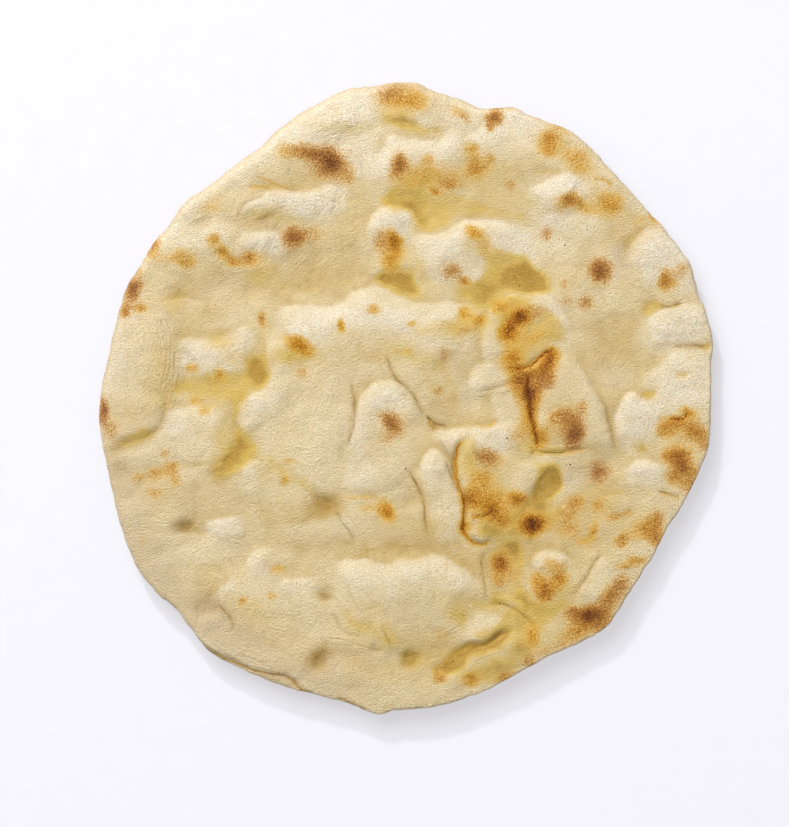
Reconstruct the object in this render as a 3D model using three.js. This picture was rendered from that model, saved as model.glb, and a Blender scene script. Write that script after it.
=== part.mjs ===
// A baked, hand-stretched pizza base: one flat, puffed round of dough, lying as it came out of the oven.
//
// Millimetres, +Z up. The origin is on the surface that the base lies on, under the middle of its box.
// +X points to the right and +Y to the far side of the base as it lies, seen from above.
//
// The base is one closed body. Its top is a disc of rings that carries the relief, its rim is a rounded
// band, and its underside tucks in under the rim and then lies flat.

import * as THREE from 'three';
import { ImprovedNoise } from 'three/addons/math/ImprovedNoise.js';

// ---------------------------------------------------------------- driving dimensions

const LENGTH = 300; // far edge to near edge
const CRUST_LEVEL = 12.0; // height of the plain crust above the table
const RIM_SWELL_INSET = 18; // from the outline to the crest of the rim
const RIM_SWELL_REACH = 22; // half-width of the rim's crest
const RIM_ROUND = 5; // inset at which the rounded edge meets the top
const TUCK = 15; // inset at which the tucked underside meets the table

const TOP_RINGS = 32; // rings from the middle to the rounded edge
const SPOKES_PER_RING = 6; // vertices that each ring has more than the one inside it
const RIM_STEPS_ABOVE = 4; // rings on the rounded edge, above its widest line
const RIM_STEPS_BELOW = 3; // and below it
const FLAT_RINGS = [0.84, 0.64, 0.42, 0.2]; // underside rings, as parts of the flat's radius

const CRUST_COLOUR = 0xe9dcb8;
const CRUST_ROUGHNESS = 0.85;

// ---------------------------------------------------------------- outline

// Sizes that change around the base are lists of bearings, in degrees counter-clockwise from +X, with
// the size at each.

// Radius of the outline. The round was stretched by hand, so the edge wanders: a flat at the upper left,
// a bulge at the lower left, notches at the top right and at the bottom.
const OUTLINE = [
  [0, 144.9], [6, 145.9], [10, 148], [15, 148.5], [20, 147.7], [25, 149.2], [29, 148.1], [33, 146.9],
  [40, 145], [47, 145.6], [52, 147.3], [58, 149], [66, 146.8], [70, 147.2], [75, 142.5], [80, 144.6],
  [84, 146], [88, 149.7], [92, 150], [96, 149.1], [101, 149.3], [106, 146.3], [110, 144.4],
  [115, 141.5], [120, 138.1], [130, 137], [134, 137.9], [138.5, 140.1], [144, 139.1], [149, 141.1],
  [153, 140.7], [158, 142.6], [164, 142.1], [172, 142.7], [180, 144.9], [185, 145.9], [192, 145.4],
  [198, 146.3], [204, 148.1], [211, 150.5], [217, 150.4], [223, 148.1], [227, 149.5], [232, 152.1],
  [238, 150.5], [247, 148.4], [257, 147.1], [261, 148.2], [265, 150.9], [268, 148.3], [272, 147.9],
  [280, 145.7], [286, 143.7], [292, 141.2], [298, 140.2], [302, 140.9], [306, 142.9], [311, 144.5],
  [315, 142.8], [320, 140.5], [328, 139.2], [333, 138.7], [338, 140.7], [344, 142.7], [351, 145.7],
  [355, 145.6],
];

// How much more the crust stands at the crest of the rim: most at the far left.
const RIM_SWELL = [[0, 0.2], [60, 0.7], [110, 1.2], [190, 1.1], [260, 0.4], [320, 0.1]];

// Where the edge reaches furthest out, as a share of the crust's height there.
const WIDEST_SHARE = [[0, 0.88], [60, 0.74], [120, 0.62], [180, 0.68], [225, 0.85], [260, 0.92], [310, 0.92]];

// ---------------------------------------------------------------- relief

// A soft swelling or hollow: its middle, its half-widths, its turn in degrees, how far it rises (or
// falls, if negative) and how square-shouldered it is (2 is a dome, 4 and more a pillow).
function swelling(x, y, across, along, turn, rise, shoulder = DOME) {
  return { x, y, across, along, turn: THREE.MathUtils.degToRad(turn), rise, shoulder };
}

const DOME = 2;
const SOFT = 3;
const PILLOW = 4;
const SHEET = 6;

const SWELLINGS = [
  // left side
  swelling(-131, 10, 20, 41, 4, 2.1, SOFT),
  swelling(-102, -16, 20, 14, -8, 1.1, SOFT),
  swelling(-94, 20, 18, 10, 10, 0.9, SOFT),
  swelling(-122, 52, 10, 16, 30, 1.0, SOFT),
  swelling(-68, 74, 25, 7, -4, 0.9, SOFT),
  swelling(-50, 92, 25, 9, -3, 1.4, SOFT),
  swelling(-98, 98, 21, 9, 45, 1.2, SOFT),
  swelling(-113, 70, 14, 8, 45, 1.1, SOFT),
  swelling(-60, 116, 25, 10, 28, 1.4, SOFT),
  // far side
  swelling(2, 111, 25, 14, 6, 2.2, SOFT),
  swelling(-6, 80, 9, 12, 20, 1.5, SOFT),
  swelling(26, 72, 23, 14, 10, 1.7, SOFT),
  swelling(70, 95, 18, 12, 15, 1.7, SOFT),
  swelling(44, 119, 28, 10, -30, 1.2, SOFT),
  swelling(-26, 135, 23, 10, 15, 1.2, SOFT),
  swelling(30, 132, 14, 8, -15, 1.0, SOFT),
  swelling(3, 139, 18, 8, 0, 1.1, SOFT),
  // right side
  swelling(121, 66, 14, 20, 10, 1.8, SOFT),
  swelling(130, 34, 17, 10, 20, 1.3, SOFT),
  swelling(98, 100, 21, 10, -45, 1.4, SOFT),
  swelling(110, -10, 14, 17, 10, 1.5, SOFT),
  swelling(132, 4, 15, 18, 0, 1.0, SOFT),
  swelling(113, -36, 14, 9, -20, 1.3, SOFT),
  swelling(132, -22, 12, 16, 0, 1.1, SOFT),
  swelling(118, -54, 15, 13, 30, 1.0, SOFT),
  swelling(79, 0, 23, 29, 12, 2.2, SOFT),
  swelling(86, 52, 18, 21, 0, 0.7, SOFT),
  // middle: the stretched sheet, and the pillows on it
  swelling(-30, 14, 46, 39, 0, 1.8, SHEET),
  swelling(14, 24, 30, 28, 0, 1.2, SHEET),
  swelling(-38, -20, 25, 30, 0, 1.0, PILLOW),
  swelling(-11, -17, 17, 28, 8, 1.9, PILLOW),
  swelling(16, -43, 10, 25, 12, 1.8, SOFT),
  swelling(42, -43, 20, 28, 0, 2.3, SOFT),
  swelling(54, 31, 23, 20, -10, 1.9, SOFT),
  swelling(42, 8, 14, 9, 0, 1.5, SOFT),
  swelling(50, -10, 10, 16, 0, 1.5, SOFT),
  // near side
  swelling(-2, -94, 44, 22, 0, 2.1, PILLOW),
  swelling(68, -85, 12, 15, 0, 1.8, SOFT),
  swelling(93, -88, 14, 14, 30, 1.3, SOFT),
  swelling(-87, -61, 15, 8, 10, 0.7, SOFT),
  swelling(-74, -38, 14, 10, 0, 0.9, SOFT),
  swelling(-62, -92, 30, 17, 0, 1.1, SOFT),
];

const HOLLOWS = [
  // dense yellow hollows, where the dough was pressed thin
  swelling(-1, 94, 14, 5.5, 0, -1.5, SOFT),
  swelling(25, 89, 24, 7, -6, -1.3, SOFT),
  swelling(53, 59, 15, 9, -15, -1.6, SOFT),
  swelling(-6, 56, 10, 5, 10, -1.3, SOFT),
  swelling(-71, 13, 6, 9, 0, -1.4),
  swelling(-81, -18, 6, 16, 0, -1.1),
  swelling(-94, 5, 18, 8, 0, -0.6, SOFT),
  swelling(67, -42, 6, 10, -25, -1.9, SOFT),
  swelling(50, -80, 10, 14, 0, -0.8, SOFT),
  // valleys between the pillows
  swelling(-80, 54, 40, 9, 6, -1.6, SOFT),
  swelling(-38, 62, 24, 13, 0, -2.2, SOFT),
  swelling(0, -70, 40, 5, 0, -1.0),
  swelling(95, 26, 12, 26, 0, -1.2),
  swelling(88, -42, 14, 10, 0, -1.0),
  swelling(22, 4, 9, 16, 0, -1.4),
  swelling(107, 73, 7, 9, -30, -1.0),
  swelling(60, -68, 14, 5, 10, -1.0),
  swelling(-80, -76, 16, 4, 35, -0.9),
  // dimples
  swelling(4, 128, 14, 4, -8, -1.0),
  swelling(66, 108, 8, 4, 0, -0.8),
  swelling(118, 43, 6, 4, 0, -1.1),
  swelling(-104, -61, 5, 4, 0, -1.7),
  swelling(-95, -99, 5.5, 3.2, 10, -1.5),
  swelling(-38, -51, 6.5, 4.5, 20, -1.4),
  swelling(2, -122, 4, 4, 0, -2.0),
  swelling(-42, -123.5, 5.5, 4, 45, -1.8),
  swelling(-136, -36, 5, 4, 0, -1.2),
];

// A stretched edge: along the line, the crust on its left rises by rise over band, and falls back to the
// plain crust over reach behind that.
const FOLDS = [
  {
    // the long edge across the middle
    line: [[38, 40], [22, 45.5], [5, 45.5], [-12, 53], [-20, 52.5], [-30, 45], [-55, 44], [-64, 42]],
    rise: 1.7, band: 12, reach: 22,
  },
  { line: [[-65, 34], [-66, 24], [-66, 7], [-76, 0], [-80, -12], [-74, -22]], rise: 1.4, band: 6, reach: 10 },
  // pillows of the far side
  {
    line: [[24, 130], [13, 121.5], [0, 122.5], [-7, 124.5], [-15, 113], [-21, 107]],
    rise: 1.7, band: 8, reach: 28,
  },
  { line: [[57, 80], [40, 84.5], [28, 84], [19, 79], [1, 78]], rise: 1.5, band: 6, reach: 18 },
  { line: [[5, 86], [-3, 91], [-10, 91], [-18, 82], [-19, 73]], rise: 1.3, band: 5, reach: 14 },
  { line: [[-28, 99], [-50, 98], [-66, 97.5], [-77, 91], [-80, 86]], rise: 1.1, band: 5, reach: 8 },
  { line: [[85, 103], [78, 106.5], [67, 103], [58, 100]], rise: 1.2, band: 6, reach: 16 },
  // pillows of the left side
  { line: [[-69, 31], [-77, 34], [-90, 28], [-104, 29], [-109, 19]], rise: 1.0, band: 6, reach: 14 },
  { line: [[-140, -26], [-125, -19.5], [-115, -9], [-113, 2]], rise: 1.2, band: 4, reach: 18 },
  // pillows of the middle
  { line: [[2, 3], [-13, 8], [-24, -6], [-30, -30]], rise: 1.2, band: 5, reach: 18 },
  { line: [[53, -9], [34, -14], [14, -15.5], [10, -21]], rise: 1.5, band: 6, reach: 10 },
  { line: [[24, -37], [15, -24], [7.5, -31], [6, -39]], rise: 1.1, band: 4.5, reach: 14 },
  { line: [[36, -18.5], [25.5, -26], [26, -43], [28.5, -63]], rise: 1.9, band: 5, reach: 18 },
  // pillows of the right side
  { line: [[80, 26], [73, 44], [62, 50], [41, 46], [38, 40]], rise: 1.4, band: 5, reach: 18 },
  { line: [[72, 23], [60, 14], [58.5, -3], [61.5, -23]], rise: 1.8, band: 5, reach: 22 },
  { line: [[100, -30], [95, -8], [86, 12], [78, 24]], rise: 1.2, band: 5, reach: 14 },
  { line: [[121, -7], [108, 3], [99, -15], [101, -24]], rise: 1.3, band: 5, reach: 13 },
  { line: [[119, 84], [105, 71], [103, 60]], rise: 1.5, band: 7, reach: 16 },
  // pillows of the near side
  { line: [[38, -90], [25, -79], [15, -74], [-7, -79], [-20, -76], [-38, -81]], rise: 1.5, band: 9, reach: 22 },
  { line: [[80, -79], [67, -72], [59, -83]], rise: 1.4, band: 5, reach: 14 },
  { line: [[98, -75], [88, -81], [80, -96]], rise: 1.3, band: 5, reach: 14 },
  // the torn edge of the burst pillow, and the long fold at the near right
  { line: [[57, -54], [64, -37], [71, -32]], rise: 1.8, band: 3, reach: 10 },
  { line: [[54, -107], [40, -116], [26, -121], [12, -131]], rise: 1.1, band: 4, reach: 12 },
];

// A crease where two pillows press together: a line, its depth and the half-width of its sides.
const CREASES = [
  { line: [[-6, 14], [0, 6], [10, -9.5], [42, -12]], depth: 0.8, width: 2.2 },
  { line: [[-25, 8], [-24.5, -8], [-28, -26]], depth: 0.9, width: 2.2 },
  { line: [[0, -33], [9, -51], [10, -66]], depth: 1.0, width: 2.2 },
  { line: [[30, -20], [24, -28], [28, -52], [30, -67], [42, -67]], depth: 1.6, width: 2.4 },
  { line: [[49, 14], [63, 18.5], [71, 22]], depth: 1.4, width: 2.4 },
  { line: [[59, 12], [59.5, -8], [62, -22], [58, -30]], depth: 1.9, width: 2.4 },
  { line: [[61, -25], [75, -25], [88, -24]], depth: 0.9, width: 2.2 },
  { line: [[80, 22], [92, 0], [100, -30]], depth: 0.8, width: 2.2 },
  { line: [[39, -98], [50, -98.5], [63, -110]], depth: 0.9, width: 2.2 },
  { line: [[12, -131], [31, -116.5], [50, -110]], depth: 1.0, width: 2.6 },
];
const LINE_END = 0.15; // part of a fold's or a crease's length over which each end fades out

const WAVES = { rise: 0.7, length: 32 }; // the plain crust's own gentle unevenness

// ---------------------------------------------------------------- functions

function smoothStep(value) {
  const t = Math.min(Math.max(value, 0), 1);
  return t * t * (3 - 2 * t);
}

// A smooth closed curve through the marks of a size that changes around the base.
function sizeAt(marks, bearing) {
  const count = marks.length;
  const turn = ((bearing % 360) + 360) % 360;
  const at = (i) => {
    const [angle, size] = marks[((i % count) + count) % count];
    return [angle + 360 * Math.floor(i / count), size];
  };
  let i = 0;
  while (i + 1 < count && marks[i + 1][0] <= turn) i += 1;
  const [before, start, end, after] = [at(i - 1), at(i), at(i + 1), at(i + 2)];
  const span = end[0] - start[0];
  const t = (turn - start[0]) / span;
  const slopeStart = ((end[1] - before[1]) / (end[0] - before[0])) * span;
  const slopeEnd = ((after[1] - start[1]) / (after[0] - start[0])) * span;
  return (2 * t ** 3 - 3 * t ** 2 + 1) * start[1]
    + (t ** 3 - 2 * t ** 2 + t) * slopeStart
    + (3 * t ** 2 - 2 * t ** 3) * end[1]
    + (t ** 3 - t ** 2) * slopeEnd;
}

function swellingHeight(form, x, y) {
  const dx = x - form.x;
  const dy = y - form.y;
  const u = (dx * Math.cos(form.turn) + dy * Math.sin(form.turn)) / form.across;
  const v = (dy * Math.cos(form.turn) - dx * Math.sin(form.turn)) / form.along;
  return form.rise * Math.exp(-0.9 * Math.hypot(u, v) ** form.shoulder);
}

// How far a point lies from a line, positive on the line's left, and a fade that is 1 along the line
// and 0 at its two ends.
function fromLine(line, x, y) {
  const lengths = line.slice(1).map((end, i) => Math.hypot(end[0] - line[i][0], end[1] - line[i][1]));
  const whole = lengths.reduce((sum, length) => sum + length, 0);
  let nearest = { distance: Infinity, fade: 0 };
  let passed = 0;
  lengths.forEach((length, i) => {
    const [ax, ay] = line[i];
    const dx = (line[i + 1][0] - ax) / length;
    const dy = (line[i + 1][1] - ay) / length;
    const along = Math.min(Math.max((x - ax) * dx + (y - ay) * dy, 0), length);
    const away = Math.hypot(x - ax - along * dx, y - ay - along * dy);
    if (away < Math.abs(nearest.distance)) {
      const side = dx * (y - ay) - dy * (x - ax) < 0 ? -1 : 1;
      const part = (passed + along) / whole;
      const fade = smoothStep(part / LINE_END) * smoothStep((1 - part) / LINE_END);
      nearest = { distance: away * side, fade };
    }
    passed += length;
  });
  return nearest;
}

function foldHeight(fold, x, y) {
  const { distance, fade } = fromLine(fold.line, x, y);
  const up = Math.sin(Math.min(Math.max((distance + 1) / fold.band, 0), 1) * (Math.PI / 2));
  const behind = smoothStep(1 - (distance - fold.band) / fold.reach);
  return fold.rise * fade * up * behind;
}

function creaseHeight(crease, x, y) {
  const { distance, fade } = fromLine(crease.line, x, y);
  return -crease.depth * fade * Math.exp(-Math.abs(distance) / crease.width);
}

// Swellings press against each other, so where two meet the taller one carries most of the height.
function sumOfSwellings(x, y) {
  const cubes = SWELLINGS.reduce((sum, form) => sum + swellingHeight(form, x, y) ** 3, 0);
  return Math.cbrt(cubes);
}

const waves = new ImprovedNoise();

// Height of the crust above the table, before the edge rounds it off.
function crustHeight(x, y, inset) {
  const bearing = THREE.MathUtils.radToDeg(Math.atan2(y, x));
  const fromCrest = Math.abs(inset - RIM_SWELL_INSET) / RIM_SWELL_REACH;
  const rim = sizeAt(RIM_SWELL, bearing) * smoothStep(1 - fromCrest);
  const relief = sumOfSwellings(x, y)
    + HOLLOWS.reduce((sum, form) => sum + swellingHeight(form, x, y), 0)
    + FOLDS.reduce((sum, fold) => sum + foldHeight(fold, x, y), 0)
    + CREASES.reduce((sum, crease) => sum + creaseHeight(crease, x, y), 0);
  const wave = WAVES.rise * waves.noise(x / WAVES.length, y / WAVES.length, 0.5);
  return CRUST_LEVEL + rim + relief + wave;
}

// Height of the line where the edge reaches furthest out.
function widestHeight(bearing, edge) {
  const x = edge * Math.cos(THREE.MathUtils.degToRad(bearing));
  const y = edge * Math.sin(THREE.MathUtils.degToRad(bearing));
  return sizeAt(WIDEST_SHARE, bearing) * crustHeight(x, y, 0);
}

// One ring of vertices. inset is the distance in from the outline; level is 1 on the crust, 0 on the
// rim's widest line and -1 on the table.
function ring(count, insetAt, level) {
  return Array.from({ length: count }, (_, i) => {
    const bearing = (i / count) * 360;
    const edge = sizeAt(OUTLINE, bearing);
    const inset = insetAt(edge);
    const radius = edge - inset;
    const x = radius * Math.cos(THREE.MathUtils.degToRad(bearing));
    const y = radius * Math.sin(THREE.MathUtils.degToRad(bearing));
    if (level === 1) return new THREE.Vector3(x, y, crustHeight(x, y, inset));
    const widest = widestHeight(bearing, edge);
    if (level <= 0) return new THREE.Vector3(x, y, widest * (1 + level));
    return new THREE.Vector3(x, y, widest + level * (crustHeight(x, y, inset) - widest));
  });
}

// Every ring from the middle of the top, over the rim, to the middle of the underside.
function allRings() {
  const rings = [ring(1, (edge) => edge, 1)];
  for (let i = 1; i <= TOP_RINGS; i += 1) {
    const part = i / TOP_RINGS;
    rings.push(ring(SPOKES_PER_RING * i, (edge) => edge - part * (edge - RIM_ROUND), 1));
  }
  const rimCount = SPOKES_PER_RING * TOP_RINGS;
  for (let i = 1; i <= RIM_STEPS_ABOVE; i += 1) {
    const angle = (i / RIM_STEPS_ABOVE) * (Math.PI / 2);
    rings.push(ring(rimCount, () => RIM_ROUND * (1 - Math.sin(angle)), Math.cos(angle)));
  }
  for (let i = 1; i <= RIM_STEPS_BELOW; i += 1) {
    const angle = (i / RIM_STEPS_BELOW) * (Math.PI / 2);
    rings.push(ring(rimCount, () => TUCK * (1 - Math.cos(angle)), -Math.sin(angle)));
  }
  FLAT_RINGS.forEach((part, i) => {
    rings.push(ring(rimCount / 2 ** (i + 1), (edge) => edge - part * (edge - TUCK), -1));
  });
  rings.push(ring(1, (edge) => edge, -1));
  return rings;
}

// The triangles between two rings that may have different counts: the side that lags steps forward.
function bandBetween(first, second) {
  const faces = [];
  const a = first.count;
  const b = second.count;
  const vertexA = (i) => first.start + (i % a);
  const vertexB = (i) => second.start + (i % b);
  let i = 0;
  let j = 0;
  while (i < (a === 1 ? 0 : a) || j < (b === 1 ? 0 : b)) {
    const stepA = a === 1 ? Infinity : (i + 1) / a;
    const stepB = b === 1 ? Infinity : (j + 1) / b;
    if (stepA < stepB) {
      faces.push(vertexA(i), vertexB(j), vertexA(i + 1));
      i += 1;
    } else {
      faces.push(vertexA(i), vertexB(j), vertexB(j + 1));
      j += 1;
    }
  }
  return faces;
}

function breadGeometry() {
  const rings = allRings();
  const points = rings.flat();
  const box = new THREE.Box3().setFromPoints(points);
  const middle = box.getCenter(new THREE.Vector3());
  const scale = LENGTH / (box.max.y - box.min.y);
  const positions = points.flatMap((p) => [(p.x - middle.x) * scale, (p.y - middle.y) * scale, p.z]);
  const faces = [];
  let start = 0;
  rings.slice(1).forEach((next, i) => {
    const inner = { start, count: rings[i].length };
    const outer = { start: start + inner.count, count: next.length };
    faces.push(...bandBetween(inner, outer));
    start = outer.start;
  });
  const geometry = new THREE.BufferGeometry();
  geometry.setAttribute('position', new THREE.Float32BufferAttribute(positions, 3));
  geometry.setIndex(faces);
  geometry.computeVertexNormals();
  return geometry;
}

// ---------------------------------------------------------------- the object

const crust = new THREE.MeshStandardMaterial({
  color: CRUST_COLOUR,
  roughness: CRUST_ROUGHNESS,
  metalness: 0,
});

const base = new THREE.Mesh(breadGeometry(), crust);
base.name = 'pizza_base';

const model = new THREE.Group();
model.add(base);

export default model;
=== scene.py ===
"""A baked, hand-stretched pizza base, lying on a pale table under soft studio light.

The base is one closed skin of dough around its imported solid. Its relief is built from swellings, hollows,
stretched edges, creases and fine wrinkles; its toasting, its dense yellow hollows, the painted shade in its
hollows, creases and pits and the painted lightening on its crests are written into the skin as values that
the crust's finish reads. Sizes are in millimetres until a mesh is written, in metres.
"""

from __future__ import annotations

import logging
import math
from dataclasses import dataclass, field
from enum import Enum
from typing import ClassVar, NamedTuple

import bmesh
import bpy
import numpy as np
from mathutils import Matrix, Vector

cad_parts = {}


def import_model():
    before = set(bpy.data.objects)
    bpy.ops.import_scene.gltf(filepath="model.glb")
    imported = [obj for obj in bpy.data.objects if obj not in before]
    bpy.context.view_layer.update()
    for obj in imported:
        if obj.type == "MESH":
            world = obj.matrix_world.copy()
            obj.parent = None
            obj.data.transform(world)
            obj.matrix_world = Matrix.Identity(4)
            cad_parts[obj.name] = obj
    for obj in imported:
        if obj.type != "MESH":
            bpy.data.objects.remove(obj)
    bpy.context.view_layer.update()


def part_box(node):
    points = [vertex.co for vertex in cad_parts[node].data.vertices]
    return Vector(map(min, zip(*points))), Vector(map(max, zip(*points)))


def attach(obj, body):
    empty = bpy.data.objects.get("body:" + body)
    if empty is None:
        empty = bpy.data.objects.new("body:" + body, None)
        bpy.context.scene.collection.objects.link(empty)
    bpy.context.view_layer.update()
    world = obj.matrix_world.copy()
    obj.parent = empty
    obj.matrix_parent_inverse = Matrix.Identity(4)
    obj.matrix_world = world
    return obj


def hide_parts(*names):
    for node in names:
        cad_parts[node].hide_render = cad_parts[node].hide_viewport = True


LOG = logging.getLogger("pizza_base")

MM = 0.001
NODE = "pizza_base"

# large odd numbers that stir a cell's place and a pattern's seed into an even spread of directions
STIR_X, STIR_Y, STIR_SEED, STIR_AGAIN = 374761393, 668265263, 2246822519, 1274126177
BITS_32, BITS_16 = 0xFFFFFFFF, 0xFFFF

# settings that many nodes share
RGBA, SMOOTH = {"data_type": "RGBA"}, {"interpolation_type": "SMOOTHSTEP"}
TIMES, TIMES_PLUS, PLUS, MINUS, SIZE_OF = (
    {"operation": name} for name in ("MULTIPLY", "MULTIPLY_ADD", "ADD", "SUBTRACT", "ABSOLUTE"))
# which output is a node's result, by its row's name or its kind, where it isn't the first
RESULTS = {"pleat_run": "Vector", "Attribute": "Fac", "Mix": 2}

Line = tuple[tuple[float, float], ...]
Found = tuple[np.ndarray, np.ndarray]
Steps = tuple[tuple[float, float], ...]
Rows = tuple[tuple[str, str, dict, dict], ...]


# ---------------------------------------------------------------- working tools


class Spots(NamedTuple):
    """Places on the base: x across and y along, in millimetres."""

    x: np.ndarray
    y: np.ndarray

    def where(self, found: np.ndarray) -> Spots:
        """The places that found marks."""
        return Spots(self.x[found], self.y[found])

    def near(self, line: Line, reach: float) -> np.ndarray:
        """Marks the places that lie in a line's box, grown by a reach.

        Args:
            line: The line's points, in millimetres.
            reach: How far the box is grown, in millimetres.

        Returns:
            True for each place in the box.
        """
        points = np.asarray(line, float)
        low, high = points.min(0) - reach, points.max(0) + reach
        return (self.x > low[0]) & (self.x < high[0]) & (self.y > low[1]) & (self.y < high[1])


def smooth_step(value: np.ndarray) -> np.ndarray:
    """Eases a value from 0 to 1; below 0 it gives 0, and above 1 it gives 1."""
    t = np.clip(value, 0.0, 1.0)
    return t * t * (3.0 - 2.0 * t)


def wander(at: Spots, length: float, seed: int) -> np.ndarray:
    """Smooth unevenness over a plane, the same on each run.

    Args:
        at: The places.
        length: Distance over which the unevenness changes, in millimetres.
        seed: Which of the many patterns to give.

    Returns:
        Numbers about 0, mostly between -1 and 1.
    """
    turn = 0.4 + 0.7 * seed
    x = (at.x * math.cos(turn) - at.y * math.sin(turn)) / length
    y = (at.x * math.sin(turn) + at.y * math.cos(turn)) / length
    cell_x, cell_y = np.floor(x).astype(np.int64), np.floor(y).astype(np.int64)
    in_x, in_y = x - cell_x, y - cell_y

    def slope(step_x: int, step_y: int) -> np.ndarray:
        """The pull of one corner of each cell, from a direction that its place decides.

        Args:
            step_x: 1 for the cell's far corners across, else 0.
            step_y: 1 for the cell's far corners along, else 0.

        Returns:
            The pull at each place.
        """
        key = (cell_x + step_x) * STIR_X + (cell_y + step_y) * STIR_Y + seed * STIR_SEED
        key = key & BITS_32
        key = ((key ^ (key >> 13)) * STIR_AGAIN) & BITS_32
        angle = ((key ^ (key >> 16)) & BITS_16) / (BITS_16 + 1.0) * math.tau
        return np.cos(angle) * (in_x - step_x) + np.sin(angle) * (in_y - step_y)

    u = in_x**3 * (in_x * (in_x * 6 - 15) + 10)
    v = in_y**3 * (in_y * (in_y * 6 - 15) + 10)
    near = slope(0, 0) * (1 - u) + slope(1, 0) * u
    far = slope(0, 1) * (1 - u) + slope(1, 1) * u
    return 1.5 * (near * (1 - v) + far * v)


@dataclass(frozen=True)
class Drift:
    """A sideways drift of places, which takes the plain ovals and straight edges off drawn forms.

    Each step is a push and the length over which it changes, in millimetres. seed is the first step's pattern
    across, and apart lies between its patterns across and along.
    """

    steps: Steps
    seed: int
    apart: int

    def moved(self, at: Spots, share: float = 1.0) -> Spots:
        """Moves places sideways.

        Args:
            at: The places.
            share: Part of the full drift.

        Returns:
            The moved places.
        """
        for seed, (push, length) in enumerate(self.steps, start=self.seed):
            at = at._replace(x=at.x + share * push * wander(at, length, seed))
            at = at._replace(y=at.y + share * push * wander(at, length, seed + self.apart))
        return at


def rounded(line: Line, steps: int = 5) -> np.ndarray:
    """A smooth curve through the points of a line.

    Args:
        line: The points, in millimetres.
        steps: Pieces that each stretch between two points is cut into.

    Returns:
        The curve's points, one row each.
    """
    p = np.asarray(line, float)
    if len(p) < 3:
        return p
    ends = np.vstack([2 * p[0] - p[1], p, 2 * p[-1] - p[-2]])
    curve = []
    for a, b, c, d in zip(ends, ends[1:], ends[2:], ends[3:]):
        for t in np.arange(steps) / steps:
            bend = (2 * a - 5 * b + 4 * c - d) * t**2 + (3 * b - a - 3 * c + d) * t**3
            curve.append(0.5 * (2 * b + (c - a) * t + bend))
    return np.array(curve + [p[-1]])


def from_line(at: Spots, line: Line) -> tuple[np.ndarray, np.ndarray]:
    """Where places lie beside a line.

    Args:
        at: The places.
        line: The line's points, in millimetres.

    Returns:
        The distance, positive on the line's left, and the part of its length passed, 0 to 1.
    """
    curve = rounded(line)
    steps = np.diff(curve, axis=0)
    lengths = np.hypot(steps[:, 0], steps[:, 1])
    passed = np.concatenate([[0.0], np.cumsum(lengths)])
    nearest = np.full(at.x.shape, np.inf)
    side = np.ones(at.x.shape)
    part = np.zeros(at.x.shape)
    for start, step, length, done in zip(curve, steps, lengths, passed):
        way = step / length
        off_x, off_y = at.x - start[0], at.y - start[1]
        along = np.clip(off_x * way[0] + off_y * way[1], 0.0, length)
        away = np.hypot(off_x - along * way[0], off_y - along * way[1])
        closer = away < nearest - 1e-6
        nearest = np.where(closer, away, nearest)
        side = np.where(closer, np.where(way[0] * off_y < way[1] * off_x, -1.0, 1.0), side)
        part = np.where(closer, (done + along) / passed[-1], part)
    return nearest * side, part


# ---------------------------------------------------------------- forms of the crust


class Shoulder(float, Enum):
    """How square-shouldered a swelling is."""

    DOME = 2.0
    SOFT = 3.0
    PILLOW = 4.0
    SHEET = 6.0


@dataclass(frozen=True)
class Swelling:
    """A soft rise of the crust, or a hollow if its rise is negative. Sizes in millimetres, turn in degrees."""

    fall: ClassVar[float] = 0.9
    widths: ClassVar[float] = 2.4

    x: float
    y: float
    across: float
    along: float
    rise: float
    turn: float = 0.0
    shoulder: Shoulder = Shoulder.DOME

    def shape(self, at: Spots) -> Found:
        """The form over the places that it reaches.

        Args:
            at: The places.

        Returns:
            Which of them it reaches, and its height at those.
        """
        reach = self.widths * max(self.across, self.along)
        found = (np.abs(at.x - self.x) < reach) & (np.abs(at.y - self.y) < reach)
        turn = math.radians(self.turn)
        off_x, off_y = at.x[found] - self.x, at.y[found] - self.y
        u = (off_x * math.cos(turn) + off_y * math.sin(turn)) / self.across
        v = (off_y * math.cos(turn) - off_x * math.sin(turn)) / self.along
        return found, self.rise * np.exp(-self.fall * np.hypot(u, v) ** float(self.shoulder))


@dataclass(frozen=True)
class Patch:
    """A part of the crust inside a drawn outline: how far it stands up, and the dough it is made of.

    Flour, dense and deep are shares of white floured skin, dense yellow crumb and beige skin. The white is partly
    real flour and partly painted light on shaded slopes, and the beige partly bare skin and partly painted shade.
    The edge is how far in from the outline they are full, the slope how far in the rise is.
    """

    margin: ClassVar[float] = 3.0

    outline: Line
    rise: float = 0.0
    slope: float = 8.0
    edge: float = 3.0
    flour: float = 0.0
    dense: float = 0.0
    deep: float = 0.0

    def depth(self, at: Spots) -> Found:
        """How far inside the outline places lie.

        Args:
            at: The places.

        Returns:
            Which of them it reaches, and their depth inside it in millimetres, negative outside.
        """
        closed = self.outline + self.outline[:1]
        found = at.near(self.outline, self.margin)
        near = at.where(found)
        distance, _ = from_line(near, closed)
        curve = rounded(closed)
        within = np.zeros(near.x.shape, bool)
        for (ax, ay), (bx, by) in zip(curve, curve[1:]):
            crosses = (ay > near.y) != (by > near.y)
            if ay != by:
                within ^= crosses & (near.x < ax + (near.y - ay) / (by - ay) * (bx - ax))
        return found, np.where(within, np.abs(distance), -np.abs(distance))


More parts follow.
